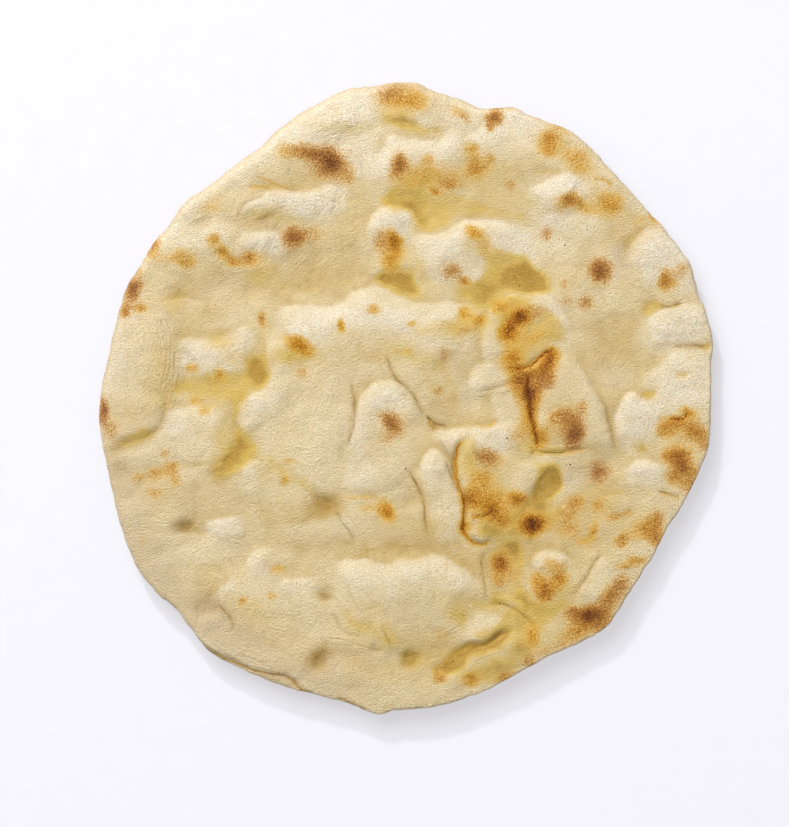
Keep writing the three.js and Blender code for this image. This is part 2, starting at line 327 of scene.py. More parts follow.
@dataclass(frozen=True)
class Dusting:
    """A soft oval where the skin is whiter, denser, more beige or drier than the rest: the white is partly flour
    and partly painted light, the beige partly bare dough and partly painted shade.

    Below 0 it has less. Sizes as a swelling's.
    """

    x: float
    y: float
    across: float
    along: float
    flour: float = 0.0
    dense: float = 0.0
    deep: float = 0.0
    dry: float = 0.0
    turn: float = 0.0

    def shape(self, at: Spots) -> Found:
        """Which of the places the oval reaches, and its share at those, 0 to 1."""
        return Swelling(self.x, self.y, self.across, self.along, 1.0, self.turn, Shoulder.SOFT).shape(at)


@dataclass(frozen=True)
class Toast:
    """A toasted spot. amber is 1 where bare dough browned orange and 0 where floured skin browned dull."""

    core: ClassVar[float] = 0.8
    heat: ClassVar[float] = 0.82

    x: float
    y: float
    across: float
    along: float
    strength: float
    amber: float = 0.5
    turn: float = 0.0

    def shape(self, at: Spots) -> Found:
        """Which of the places the spot reaches, and how strongly it toasts those, 0 to 1."""
        across, along = self.core * self.across, self.core * self.along
        return Swelling(self.x, self.y, across, along, self.heat * self.strength, self.turn).shape(at)


@dataclass(frozen=True)
class Drawn:
    """A form that follows a line, in millimetres. ends is the share of it over which each end fades."""

    line: Line
    ends: float = field(default=0.2, kw_only=True)

    def beside(self, at: Spots, reach: float) -> tuple[np.ndarray, np.ndarray, np.ndarray]:
        """Where places lie beside the line.

        Args:
            at: The places.
            reach: How far the form goes beyond the line's box, in millimetres.

        Returns:
            Which of them it reaches, their distance, positive on the line's left, and its fade, 0 at its ends
            and 1 between.
        """
        found = at.near(self.line, reach)
        distance, part = from_line(at.where(found), self.line)
        return found, distance, smooth_step(part / self.ends) * smooth_step((1 - part) / self.ends)


@dataclass(frozen=True)
class Fold(Drawn):
    """A stretched edge: the crust on the line's left rises from it over a band and sinks back behind.

    flour is a painted highlight on its band, which faces the light, given low on bands that face away. The foot
    is painted shade in front of the line. Sizes in millimetres.
    """

    foot: ClassVar[float] = 7.0
    foot_shade: ClassVar[float] = 0.7
    brink: ClassVar[float] = 0.3
    brink_width: ClassVar[float] = 1.2
    lead: ClassVar[float] = 0.6

    rise: float
    band: float
    reach: float
    flour: float = 0.7

    def skin(self, at: Spots) -> tuple[np.ndarray, np.ndarray, np.ndarray]:
        """The painted highlight on the band, and the painted shade at its foot.

        Args:
            at: The places.

        Returns:
            Which of them it reaches, their painted highlight and their painted shade, both 0 to 1.
        """
        found, distance, fade = self.beside(at, 2 * self.band + 6.0)
        fade = self.flour * min(1.0, self.rise) * fade
        over = smooth_step((distance + self.brink) / self.brink_width)
        flour = fade * over * smooth_step(1.3 - distance / (1.6 * self.band))
        return found, flour, self.foot_shade * fade * (1 - over) * smooth_step(1 + distance / self.foot)

    def shape(self, at: Spots) -> Found:
        """The edge's height over the places that it reaches.

        Args:
            at: The places.

        Returns:
            Which of them it reaches, and its height at those.
        """
        found, distance, fade = self.beside(at, self.reach + self.band)
        up = np.sin(np.clip((distance + self.lead) / self.band, 0, 1) * math.pi / 2)
        behind = smooth_step(1 - (distance - self.band) / self.reach)
        return found, self.rise * fade * up * np.where(distance > self.band, behind, 1.0)


@dataclass(frozen=True)
class Crease(Drawn):
    """A sharp valley where two pillows press together. Sizes in millimetres.

    burn is how much the dough beside it has browned, and seam how dark its thin line of painted shade is, both 0 to
    1.
    """

    widths: ClassVar[float] = 7.0
    bottom: ClassVar[float] = 0.4
    lip_place: ClassVar[float] = 2.5
    lip_width: ClassVar[float] = 1.6
    burn_width: ClassVar[float] = 0.7
    seam_reach: ClassVar[float] = 5.0

    depth: float
    width: float = 1.8
    lip: float = 0.3
    burn: float = 0.0
    seam: float = 0.7

    def across(self, at: Spots) -> tuple[np.ndarray, np.ndarray, np.ndarray]:
        """Which of the places it reaches, their distance on either side, and its fade."""
        found, distance, fade = self.beside(at, self.widths * self.width)
        return found, np.abs(distance), fade

    def shape(self, at: Spots) -> Found:
        """The valley's height over the places that it reaches.

        Args:
            at: The places.

        Returns:
            Which of them it reaches, and its height at those.
        """
        found, distance, fade = self.across(at)
        valley = np.exp(-(np.hypot(distance, self.bottom) - self.bottom) / self.width)
        lip = np.exp(-(((distance - self.lip_place * self.width) / (self.lip_width * self.width)) ** 2))
        return found, fade * (self.lip * lip - self.depth * valley)

    def seam_beside(self, at: Spots) -> tuple[np.ndarray, np.ndarray, np.ndarray]:
        """Which of the places lie beside the seam, their signed distance, and its painted shade there, 0 to 1."""
        found, distance, fade = self.beside(at, self.seam_reach)
        return found, distance, self.seam * fade * smooth_step(2 - 2 * np.abs(distance) / self.seam_reach)

    def browning(self, at: Spots) -> Found:
        """Which of the places the valley reaches, and how much the dough has browned there, 0 to 1."""
        found, distance, fade = self.across(at)
        return found, self.burn * fade * np.exp(-((distance / (self.burn_width * self.width)) ** 2))


@dataclass(frozen=True)
class Pleats:
    """A field of fine wrinkles that run along a line. Reach in millimetres, strength 0 to 1."""

    line: Line
    reach: float
    strength: float = 1.0

    def shape(self, at: Spots) -> tuple[np.ndarray, np.ndarray, np.ndarray, np.ndarray]:
        """The field over the places that it reaches.

        Args:
            at: The places.

        Returns:
            Which of them it reaches, its strength there, and their places across and along the line in
            millimetres.
        """
        found = at.near(self.line, self.reach)
        distance, part = from_line(at.where(found), self.line)
        length = float(np.hypot(*np.diff(rounded(self.line), axis=0).T).sum())
        ends = smooth_step(4 * part) * smooth_step(4 - 4 * part)
        return found, self.strength * ends * smooth_step(1 - np.abs(distance) / self.reach), distance, part * length


SOFT, PILLOW, SHEET = Shoulder.SOFT, Shoulder.PILLOW, Shoulder.SHEET

SWELLINGS = tuple(Swelling(*row) for row in (  # x, y, across, along, rise, turn, shoulder
    # left side
    (-131, 10, 20, 41, 2.1, 4, SOFT), (-102, -16, 20, 14, 1.1, -8, SOFT), (-94, 20, 18, 10, 0.7, 10, SOFT),
    (-122, 52, 10, 16, 1.0, 30, SOFT), (-68, 74, 25, 7, 0.9, -4, SOFT), (-50, 92, 25, 9, 1.2, -3, SOFT),
    (-98, 98, 21, 9, 1.2, 45, SOFT), (-113, 70, 14, 8, 1.1, 45, SOFT), (-60, 116, 25, 10, 1.4, 28, SOFT),
    # top
    (2, 113, 25, 15, 1.6, 6, SOFT), (-6, 80, 9, 12, 1.2, 20, SOFT), (26, 72, 23, 14, 1.4, 10, SOFT),
    (70, 95, 18, 12, 1.5, 15, SOFT), (44, 119, 28, 10, 1.2, -30, SOFT), (-26, 135, 23, 10, 1.2, 15, SOFT),
    (30, 132, 14, 8, 1.0, -15, SOFT), (3, 139, 18, 8, 1.1, 0, SOFT),
    # right
    (121, 66, 14, 20, 1.7, 10, SOFT), (130, 34, 17, 10, 1.2, 20, SOFT), (98, 100, 21, 10, 1.4, -45, SOFT),
    (110, -10, 14, 17, 1.2, 10, SOFT), (132, 4, 15, 18, 1.0, 0, SOFT), (113, -36, 14, 9, 1.1, -20, SOFT),
    (132, -22, 12, 16, 1.1, 0, SOFT), (118, -54, 15, 13, 1.0, 30, SOFT), (79, 0, 23, 29, 1.9, 12, SOFT),
    (86, 52, 18, 21, 0.7, 0, SOFT),
    # middle
    (-30, 14, 46, 39, 1.5, 0, SHEET), (14, 24, 30, 28, 1.2, 0, SHEET), (-38, -20, 25, 30, 1.0, 0, PILLOW),
    (-11, -17, 17, 28, 1.6, 8, PILLOW), (16, -43, 10, 25, 1.5, 12, SOFT), (42, -43, 20, 28, 2.0, 0, SOFT),
    (54, 31, 23, 20, 1.3, -10, SOFT), (42, 8, 14, 9, 1.4, 0, SOFT), (50, -10, 10, 16, 1.4, 0, SOFT),
    # lower
    (-2, -94, 44, 22, 1.9, 0, PILLOW), (68, -85, 12, 15, 1.6, 0, SOFT), (93, -88, 14, 14, 1.2, 30, SOFT),
    (-87, -61, 15, 8, 0.6, 10, SOFT), (-74, -38, 14, 10, 0.9, 0, SOFT), (-62, -92, 30, 17, 1.1, 0, SOFT),
    (-98, -104, 18, 10, 1.2, -40, SOFT), (42, -107, 16, 10, 1.2, 20, SOFT), (-40, -130, 25, 9, 1.1, -15, SOFT),
    (-4, -138, 28, 9, 1.2, 0, SOFT), (56, -120, 18, 9, 1.2, 30, SOFT), (-117, -58, 18, 15, 1.4, 60, SOFT),
    (-120, -88, 16, 12, 1.1, -50, SOFT), (105, -70, 12, 14, 1.1, 30, SOFT),
))

HOLLOWS = tuple(Swelling(*row) for row in (  # x, y, across, along, rise, turn, shoulder
    (-105, -61, 6, 4, -2.0, 10), (-97, -64, 7, 3, -0.9, 20), (-80, -69, 8, 3, -0.4, -10), (-88, -37.5, 6, 3.4, -1.5),
    (-94, -99, 6.5, 4, -2.4, 10), (-38, -51, 6.5, 4.5, -2.1, 20), (-38, -93, 3.4, 3.6, -1.4, 20),
    (28, -103, 4, 5, -0.8), (2, -123.5, 4.2, 4, -2.2), (-41, -124, 6.5, 4, -2.2, 35), (-14, -118.5, 3, 1.8, -1.2),
    (-59, -81, 5, 3, -0.7), (-67, 85.5, 6, 2.2, -0.5, 12), (-97, 82, 5, 3, -0.7, 30), (-80, 54, 40, 9, -1.6, 6, SOFT),
    (-38, 62, 24, 13, -2.2, 0, SOFT), (0, -70, 40, 5, -1.0), (95, 26, 12, 26, -1.2), (88, -42, 14, 10, -1.0),
    (22, 4, 9, 16, -1.4), (-135, -23.5, 5, 2.4, -0.8, 20), (-136, -36, 5, 4, -1.2), (131, 11, 4, 2, -0.7, 10),
    (67, 88, 4, 1.6, -0.3, 20), (52, -77, 12, 9, -0.8), (62, -68, 13, 5, -0.6, 10), (-80, -76, 16, 4, -0.9, 35),
))

PATCHES = (
    # far side: raised
    Patch(((-79, 88), (-76, 93), (-70, 96), (-60, 98.5), (-50, 98), (-40, 99.5), (-32, 101), (-27, 99), (-28, 92),
        (-33, 87), (-45, 85), (-58, 87), (-64, 89), (-72, 87)), rise=0.2, slope=7.7, flour=0.7),
    Patch(((-78, 80), (-70, 79), (-63, 80), (-59, 76), (-60, 71), (-68, 69), (-76, 71), (-80, 75)), rise=0.3,
        slope=6.6, flour=0.8),
    Patch(((-98, 79), (-92, 83), (-84, 81), (-81, 76), (-84, 71), (-90, 72), (-96, 74)), rise=0.2, slope=6.6, edge=6,
        flour=0.5),
    Patch(((-61, 84), (-50, 84), (-38, 82), (-33, 78), (-40, 73), (-52, 69), (-60, 71)), rise=0.3, slope=7.7, edge=6,
        flour=0.1),
    Patch(((-21, 106), (-17, 112), (-12, 119), (-7, 124.5), (0, 122.5), (8, 121.5), (13, 121.5), (18, 124), (22, 128),
        (27, 124), (30, 116), (27, 106), (18, 100.5), (5, 100), (-8, 101), (-16, 102)), rise=0.4, slope=12, edge=6,
        flour=0.5),
    Patch(((-20, 108), (-17, 113), (-12, 119.5), (-7, 125), (0, 123), (8, 122), (15, 122.5), (17, 117), (6, 115.5),
        (-4, 117), (-10, 112), (-14, 104)), flour=1),
    Patch(((-16, 88), (-12, 91), (-3, 90.5), (2, 88), (4, 84), (2, 80), (-2, 74), (-6, 66), (-14, 65), (-18, 72),
        (-18, 80)), rise=0.5, slope=6.6, edge=6, flour=0.6),
    Patch(((2, 78), (10, 76.5), (16, 76.5), (20, 79.5), (25, 83), (32, 85), (42, 85), (50, 83), (57, 80.5), (60, 76),
        (56, 71), (46, 72), (39, 70), (36, 64), (37, 57), (30, 52), (22, 55), (15, 53), (10, 57), (8, 64), (4, 70),
        (0, 74)), rise=0.4, flour=0.7),
    Patch(((57, 99), (64, 102.5), (71, 105.5), (79, 106.5), (84, 103), (87, 97), (84, 91), (76, 88), (68, 89.5),
        (62, 92), (57, 94)), rise=0.5, slope=7.7, flour=0.7),
    Patch(((61, 79), (62, 84), (68, 87), (80, 87), (90, 84), (88, 76), (78, 70), (68, 68), (62, 72)), rise=0.3,
        slope=8.8, edge=6, flour=0.4),
    Patch(((-142, 62), (-120, 88), (-100, 104), (-70, 126), (-40, 146), (-10, 152), (-16, 134), (-44, 130),
        (-66, 110), (-88, 95), (-104, 80), (-124, 60)), edge=6, flour=0.6),
    Patch(((28, 142), (50, 144), (62, 134), (56, 126), (46, 126), (36, 130)), edge=6, flour=0.5),
    # far side: sunk and dense
    Patch(((-14, 95), (-9, 98.5), (0, 99.5), (12, 98.5), (25, 97), (40, 93), (52, 90), (58, 86), (56, 82.5),
        (48, 84.5), (38, 86), (30, 86), (24, 84), (20, 81), (15, 78.5), (10, 78.5), (6, 81), (4, 85), (-3, 91),
        (-10, 91)), rise=-0.6, slope=9, edge=2.5, dense=0.5),
    Patch(((-14, 94.5), (-8, 98), (2, 98.5), (10, 97), (12, 93), (6, 90.5), (-4, 90), (-11, 91)), dense=0.3),
    Patch(((-17, 57), (-9, 60.5), (3, 60), (5, 54), (7, 48.5), (1, 48), (-6, 52.5), (-14, 54.5)), rise=-1.1, slope=6,
        edge=3.5, dense=0.65),
    Patch(((38, 68), (42, 72), (50, 70.5), (57, 69), (61, 65), (64, 58), (69.5, 51), (62, 49.5), (54, 49.5), (46, 50),
        (40, 47), (38, 44), (36, 49), (31, 53), (36, 60)), rise=-0.3, slope=12, edge=4, dense=0.6),
    Patch(((46, 58), (56, 61), (62, 58), (69, 51), (62, 49.5), (54, 49.5), (44, 51)), rise=-0.6, slope=6, edge=6,
        dense=0.5),
    Patch(((-9, 131.5), (0, 131.5), (10, 129.5), (17, 129.5), (17, 125), (10, 123), (4, 123.5), (-3, 127)), rise=-0.5,
        slope=6, edge=4, dense=0.5),
    Patch(((59, 111), (66, 110.5), (73, 107.5), (68, 104.5), (60, 104.5)), rise=-0.8, slope=5, edge=5, dense=0.4),
    Patch(((98, 68), (103, 75), (110, 80), (116, 83), (119, 80), (112, 73), (108, 64), (103, 61)), rise=-1, slope=6.8,
        edge=5, dense=0.2),
    # right side: raised
    Patch(((109, 62), (112, 72), (118, 79), (125, 79), (131, 71), (136, 60), (138, 52), (130, 48), (120, 50),
        (112, 54)), rise=0.5, slope=8.8, flour=0.7),
    Patch(((113, 37), (118, 40.5), (126, 43), (134, 46), (142, 40), (144, 30), (136, 26.5), (126, 26), (116, 28)),
        rise=0.3, flour=0.8),
    Patch(((112, 10), (118, 16), (128, 22), (140, 22), (146, 18), (147, 4), (143, -4), (132, -5), (123, 0), (120, 4),
        (112, 6)), rise=0.2, slope=8.8, flour=0.8),
    Patch(((98, -10), (100, -4), (105, 1), (112, -1), (119, -3), (121, -10), (118, -17), (115, -22), (110, -28),
        (103, -26), (99, -20)), rise=0.5, slope=7.7, flour=0.9),
    Patch(((103, -34), (108, -30), (113, -29), (119, -31), (124, -37), (120, -43), (112, -42), (105, -40)), rise=0.4,
        slope=7.7, flour=0.9),
    Patch(((62, 10), (64, 16), (70, 22), (76, 25), (80, 21), (86, 13), (91, 4), (95, -5), (97, -14), (99, -24),
        (88, -23.5), (75, -24), (66, -24), (63, -20), (62, -12), (61, -4), (60, 4)), rise=0.7, slope=7.7, edge=6,
        flour=0.2),
    Patch(((39, 37), (40, 44), (46, 48), (55, 48.5), (63, 47), (70, 42), (76, 35), (79, 28), (76, 25.5), (70, 24),
        (64, 20.5), (58, 17), (51, 15.5), (45, 16), (40, 14), (37, 17), (36, 25), (37, 32)), rise=0.4, slope=7.7,
        edge=6, flour=0.2),
    Patch(((31, 4), (31, 12), (36, 14), (44, 14.5), (50, 13), (54, 9), (50, 5), (44, 4), (38, 1)), rise=0.2,
        slope=5.5, flour=0.5),
    Patch(((42, 0), (49, 4), (56, 4), (58, -2), (59, -10), (60, -18), (58, -26), (50, -22), (44, -14), (41, -8)),
        rise=0.5, slope=6.6, flour=0.7),
    # right side: sunk and dense
    Patch(((50, 14), (58, 16), (66, 20), (64, 10), (62, 0), (62, -22), (58, -24), (56, -8), (52, 4), (48, 9)),
        dense=0.6),
    Patch(((30, -24), (40, -36), (56, -40), (58, -50), (52, -62), (36, -64), (29, -52), (27, -36)), edge=6,
        dense=0.45),
    Patch(((58, -26), (72, -32), (80, -44), (74, -60), (60, -66), (48, -66), (56, -52), (60, -40)), edge=5,
        dense=0.5),
    Patch(((112, 46), (118, 47.5), (123, 44.5), (119, 39.5), (112, 39.5)), rise=-1.1, slope=5, edge=2.5, dense=0.5),
    Patch(((110, 3), (114, 4.5), (120, 3.5), (117, 0), (112, -0.5)), rise=-1, slope=5, edge=2.5, dense=0.6),
    Patch(((109, -23), (113, -20), (115.5, -26), (110, -27)), rise=-1, slope=5, edge=5, dense=0.4),
    Patch(((137, 24), (142, 27.5), (146, 25), (143, 22.5)), rise=-1, slope=5, edge=2.5, dense=0.6),
    Patch(((61, 34), (65, 41), (72, 40), (78, 30), (76, 25), (68, 25), (62, 26)), edge=5, dense=0.4),
    Patch(((40, 48), (50, 49), (60, 47), (56, 41), (46, 39), (40, 42)), edge=5, dense=0.45),
    # middle: raised
    Patch(((-65, 33), (-62, 41), (-50, 43.5), (-40, 43.5), (-31, 45), (-25, 49), (-18, 52), (-8, 51), (0, 47),
        (6, 43.5), (15, 45), (22, 46), (30, 43.5), (37, 38), (36, 30), (34, 18), (30, 8), (30, -8), (22, -14),
        (13, -12), (8, -6), (0, 4), (-6, 12), (-14, 8), (-22, 3), (-24, -12), (-28, -28), (-34, -42), (-48, -44),
        (-62, -36), (-70, -30), (-74, -22), (-77, -12), (-74, -2), (-66, 4), (-64, 14), (-66, 24)), rise=0.5,
        slope=8.8, edge=6, flour=0.2),
    Patch(((-64, 28), (-62, 42), (-50, 44.5), (-40, 44.5), (-31, 46), (-25, 50), (-18, 53), (-8, 52), (0, 48),
        (6, 44.5), (15, 46), (22, 47), (26, 40), (10, 36), (-8, 38), (-24, 32), (-40, 28), (-52, 30)), flour=0.7),
    Patch(((-22, 3), (-15, 7), (-8, 7), (-2, 5), (4, 0), (8, -6), (11, -11), (13, -17), (13, -22), (8, -26), (5, -33),
        (-2, -39), (-8, -42), (-20, -43.5), (-31, -42), (-31, -33), (-27, -25), (-24, -15), (-23, -5)), rise=0.5,
        slope=7.7, edge=6, flour=0.3),
    Patch(((-22, -2), (-15, 7), (-8, 7.5), (0, 4), (-2, -4), (-14, -8)), edge=6, flour=0.6),
    Patch(((-31, -42), (-29, -32), (-22, -24), (-16, -30), (-14, -42), (-22, -44)), flour=0.8),
    Patch(((12, -17), (16, -14.5), (24, -15), (34, -13), (44, -12), (50, -16), (48, -24), (40, -24), (30, -20),
        (25, -21), (22, -27), (18, -25), (14, -21)), rise=0.4, slope=5.5, flour=0.9),
    Patch(((8, -28), (13, -24), (17, -27), (22, -35), (25.5, -43), (27, -52), (26, -62), (22, -68), (14, -67),
        (11, -60), (10.5, -50), (8, -42), (5, -35)), rise=0.5, slope=6.6, flour=0.7),
    Patch(((27, -22), (33, -20), (42, -22), (50, -24), (56, -28), (62, -30), (68, -31), (64, -36), (60, -42),
        (57, -50), (54, -58), (48, -64), (40, -67.5), (32, -66), (29, -58), (29.5, -48), (26, -40), (25.5, -30)),
        rise=0.7, slope=7.7, edge=6, flour=0.2),
    Patch(((-108, 13), (-106, 22), (-102, 27), (-95, 28), (-90, 27), (-84, 30), (-76, 34), (-70, 30), (-74, 22),
        (-82, 15), (-92, 16), (-100, 14)), rise=0.2, slope=9, flour=0.9),
    Patch(((-148, -15), (-140, -24), (-131, -20.5), (-122, -17.5), (-117, -13), (-114, -4), (-113, 6), (-115, 18),
        (-119, 32), (-124, 44), (-134, 48), (-147, 30), (-152, 5)), rise=0.4, slope=15.4, edge=6, flour=0.3),
    Patch(((-114, -5), (-106, -3), (-96, -4), (-86, -7), (-84, -16), (-88, -28), (-100, -32), (-116, -34),
        (-132, -32), (-138, -28), (-130, -23), (-121, -18.5), (-116, -13)), rise=0.3, slope=8.8, edge=6, flour=0.6),
    Patch(((-78, -34), (-74, -28), (-69, -33), (-68, -42), (-72, -47), (-79, -46), (-82, -40)), rise=0.3, slope=6.6,
        edge=6, flour=0.6),
    # middle: sunk and dense
    Patch(((-77, 18), (-73, 23), (-67, 20), (-64.5, 12), (-66.5, 5), (-72, 3), (-79, 9)), rise=-1.2, slope=7, edge=6,
        dense=0.5),
    Patch(((-84, -2), (-79, -3), (-78, -10), (-75.5, -18), (-72, -24), (-76, -27), (-82, -34), (-88, -34), (-86, -25),
        (-82, -15), (-83, -8)), rise=-1.0, slope=7, edge=6, dense=0.5),
    Patch(((-111, 8), (-104, 13), (-96, 13), (-86, 12), (-78, 14), (-72, 6), (-76, -4), (-84, -3), (-94, -3),
        (-106, -1), (-113, 2)), rise=-0.4, slope=6, edge=6, dense=0.5),
    Patch(((-92, -6), (-84, -4), (-78, -14), (-78, -28), (-88, -38), (-98, -32), (-94, -16)), edge=9, dense=0.35),
    Patch(((-70, -24), (-60, -26), (-48, -34), (-38, -44), (-44, -50), (-56, -42), (-68, -34)), edge=6, dense=0.35),
    Patch(((70, -32.5), (74, -37), (75, -41), (72, -45), (66, -48), (60, -53), (56, -56), (58, -50), (60, -45),
        (62, -40), (66, -37)), rise=-1.2, slope=5, edge=2.5, dense=0.97),
    Patch(((-38, 34), (-20, 38), (-4, 36), (8, 28), (4, 18), (-10, 22), (-26, 24), (-40, 24)), edge=7, dense=0.2),
    Patch(((0, 36), (14, 40), (34, 40), (36, 30), (20, 30), (6, 26)), edge=6, dense=0.25),
    Patch(((-13, 20), (-6, 22), (2, 14), (8, 2), (14, -8), (26, -10), (28, 4), (22, 16), (10, 24)), edge=5,
        dense=0.3),
    # near side: raised
    Patch(((-37, -90), (-34, -82), (-26, -78.5), (-18, -76.5), (-9, -79.5), (0, -77), (8, -75.5), (18, -75),
        (25, -79.5), (32, -84), (36, -91), (37, -98), (32, -104), (26, -110), (14, -113), (2, -114), (-8, -113),
        (-20, -111), (-28, -110), (-33, -103)), rise=0.4, slope=13.2, edge=6, flour=0.4),
    Patch(((60, -76), (66, -72), (73, -73), (78, -79), (79, -87), (75, -95), (68, -98), (61, -95), (58, -88)),
        rise=0.5, slope=7.7, edge=6, flour=0.5),
    Patch(((84, -92), (88, -84), (92, -77), (98, -76), (104, -80), (106, -87), (101, -95), (94, -100), (86, -103),
        (80, -100)), rise=0.3, slope=7.7, edge=6, flour=0.2),
    Patch(((26, -112), (30, -106), (34, -101), (40, -99.5), (48, -100), (54, -104), (50, -109), (42, -113),
        (36, -116), (30, -115.5)), rise=0.5, slope=6.6, flour=0.35),
    Patch(((34, -120), (44, -117), (52, -112), (60, -111), (66, -112), (72, -114), (66, -119), (56, -124), (44, -131),
        (34, -133), (27, -130), (28, -124)), rise=0.4, slope=6.6, edge=6, flour=0.2),
    Patch(((-96, -62), (-92, -57.5), (-85, -56.5), (-79, -57), (-76, -62), (-78, -66), (-86, -66), (-93, -66)),
        rise=0.3, slope=5.5, flour=0.8),
    Patch(((-72, -74), (-66, -76), (-60, -84), (-50, -85), (-42, -87), (-40, -97), (-46, -105), (-60, -103),
        (-70, -98), (-78, -96), (-80, -88), (-76, -80)), rise=0.3, slope=11, edge=6, flour=0.4),
    Patch(((-100, -103), (-94, -104), (-88, -102), (-82, -106), (-81, -112), (-88, -114), (-96, -112)), rise=0.2,
        slope=6.6, edge=6, flour=0.5),
    # near side: sunk and dense
    Patch(((14, -131), (20, -131.5), (27, -125), (33, -119.5), (40, -119), (46, -115), (51, -109.5), (46, -110.5),
        (40, -115), (34, -116.5), (29, -116), (24, -120), (18, -126), (13, -128)), rise=-1.2, slope=3, edge=1.5,
        dense=0.97),
    Patch(((42, 46), (52, 47.5), (62, 46), (74, 40), (78, 30), (72, 25), (62, 18.5), (50, 15), (46, 20), (44, 32)),
        edge=5, dense=0.42),
    Patch(((14, -132), (30, -139), (60, -128), (80, -116), (90, -108), (70, -103), (50, -108), (30, -119)), edge=8,
        dense=0.3),
    Patch(((18, -129), (24, -124), (31, -117), (38, -118), (46, -114), (42, -118), (34, -121.5), (27, -128),
        (22, -131)), rise=-0.8, slope=5, edge=2.5, dense=0.8),
    Patch(((40, -112), (46, -100), (58, -96), (72, -94), (80, -98), (70, -106), (60, -113), (50, -117), (40, -122),
        (30, -124), (34, -117)), edge=4, dense=0.6),
    Patch(((40, -74), (52, -66), (58, -74), (57, -88), (60, -98), (50, -98), (40, -97), (38, -86)), rise=-0.4,
        slope=6.8, edge=4, dense=0.65),
    Patch(((-30, -100), (-20, -104), (-8, -104), (-2, -112), (-8, -118), (-20, -114), (-30, -112)), edge=5,
        dense=0.35),
    Patch(((52, -62), (62, -56), (74, -50), (72, -60), (64, -66), (54, -68)), rise=-0.2, slope=6.8, edge=5,
        dense=0.35),
    # beige skin: bare dough, and painted shade
    Patch(((-126, -48), (-112, -34), (-92, -30), (-78, -30), (-70, -42), (-74, -58), (-92, -64), (-112, -62)),
        edge=10, deep=0.55),
    Patch(((-92, -38), (-80, -24), (-75, -14), (-72, -24), (-78, -38), (-84, -48)), edge=6, deep=0.4),
    Patch(((-143, -48), (-128, -86), (-100, -114), (-90, -104), (-104, -86), (-124, -60)), edge=7, deep=0.5),
    Patch(((-94, -114), (-64, -132), (-30, -136), (-26, -118), (-52, -106), (-84, -104)), edge=9, deep=0.4),
    Patch(((-72, -64), (-48, -62), (-20, -63), (8, -64), (26, -68), (22, -75), (-4, -76), (-34, -78), (-60, -74)),
        edge=6, deep=0.45),
    Patch(((-4, -113), (26, -106), (36, -114), (22, -128), (-2, -140), (-30, -134), (-28, -118)), edge=8, deep=0.35),
    Patch(((-116, 56), (-112, 44), (-90, 36), (-70, 44), (-50, 45), (-30, 47), (-22, 54), (-14, 58), (-22, 66),
        (-60, 66), (-92, 62)), edge=6, deep=0.55),
    Patch(((99, 66), (104, 74), (112, 82), (119, 86), (118, 78), (110, 68), (104, 60)), edge=4, deep=0.6),
    Patch(((78, 96), (90, 80), (88, 60), (80, 50), (74, 54), (78, 68), (84, 78)), edge=6, deep=0.35),
    Patch(((-148, 6), (-138, 4), (-126, -8), (-116, -14), (-126, -24), (-142, -26)), edge=6, deep=0.7),
    Patch(((-112, 28), (-106, 34), (-96, 33), (-84, 34), (-80, 31), (-90, 28), (-99, 28), (-106, 28)), edge=2,
        deep=0.6),
    Patch(((84, 48), (100, 44), (112, 38), (112, 24), (106, 8), (98, -4), (94, 6), (84, 22), (80, 36)), edge=6,
        deep=0.45),
    Patch(((10, 26), (22, 26), (32, 18), (30, -8), (18, -12), (10, -6), (6, 6), (10, 16)), edge=6, deep=0.4),
    Patch(((60, -36), (70, -33), (80, -30), (98, -36), (108, -48), (110, -60), (96, -72), (78, -72), (66, -64),
        (74, -48)), edge=8, deep=0.35),
    Patch(((-56, 128), (-40, 133), (-20, 132), (-8, 132), (-8, 127), (-24, 124), (-40, 124)), edge=5, dense=0.2),
    # whitest skin
    Patch(((-62, 96), (-50, 96), (-40, 98), (-30, 100), (-27, 94), (-34, 87), (-50, 86), (-62, 90)), flour=0.9),
    Patch(((28, 84), (40, 85), (54, 82), (60, 77), (54, 72), (44, 73), (34, 72), (26, 76)), flour=0.7),
    Patch(((-108, 16), (-104, 25), (-96, 27), (-88, 26), (-80, 30), (-72, 31), (-78, 22), (-92, 16), (-102, 13)),
        flour=0.8),
    Patch(((58, 95), (70, 103), (80, 104), (92, 96), (96, 84), (88, 76), (70, 78), (60, 86)), edge=7, flour=0.4),
    Patch(((-62, 38), (-24, 46), (0, 46), (20, 45), (28, 36), (20, 27), (0, 26), (-30, 26), (-58, 26)), edge=9,
        flour=0.5),
)

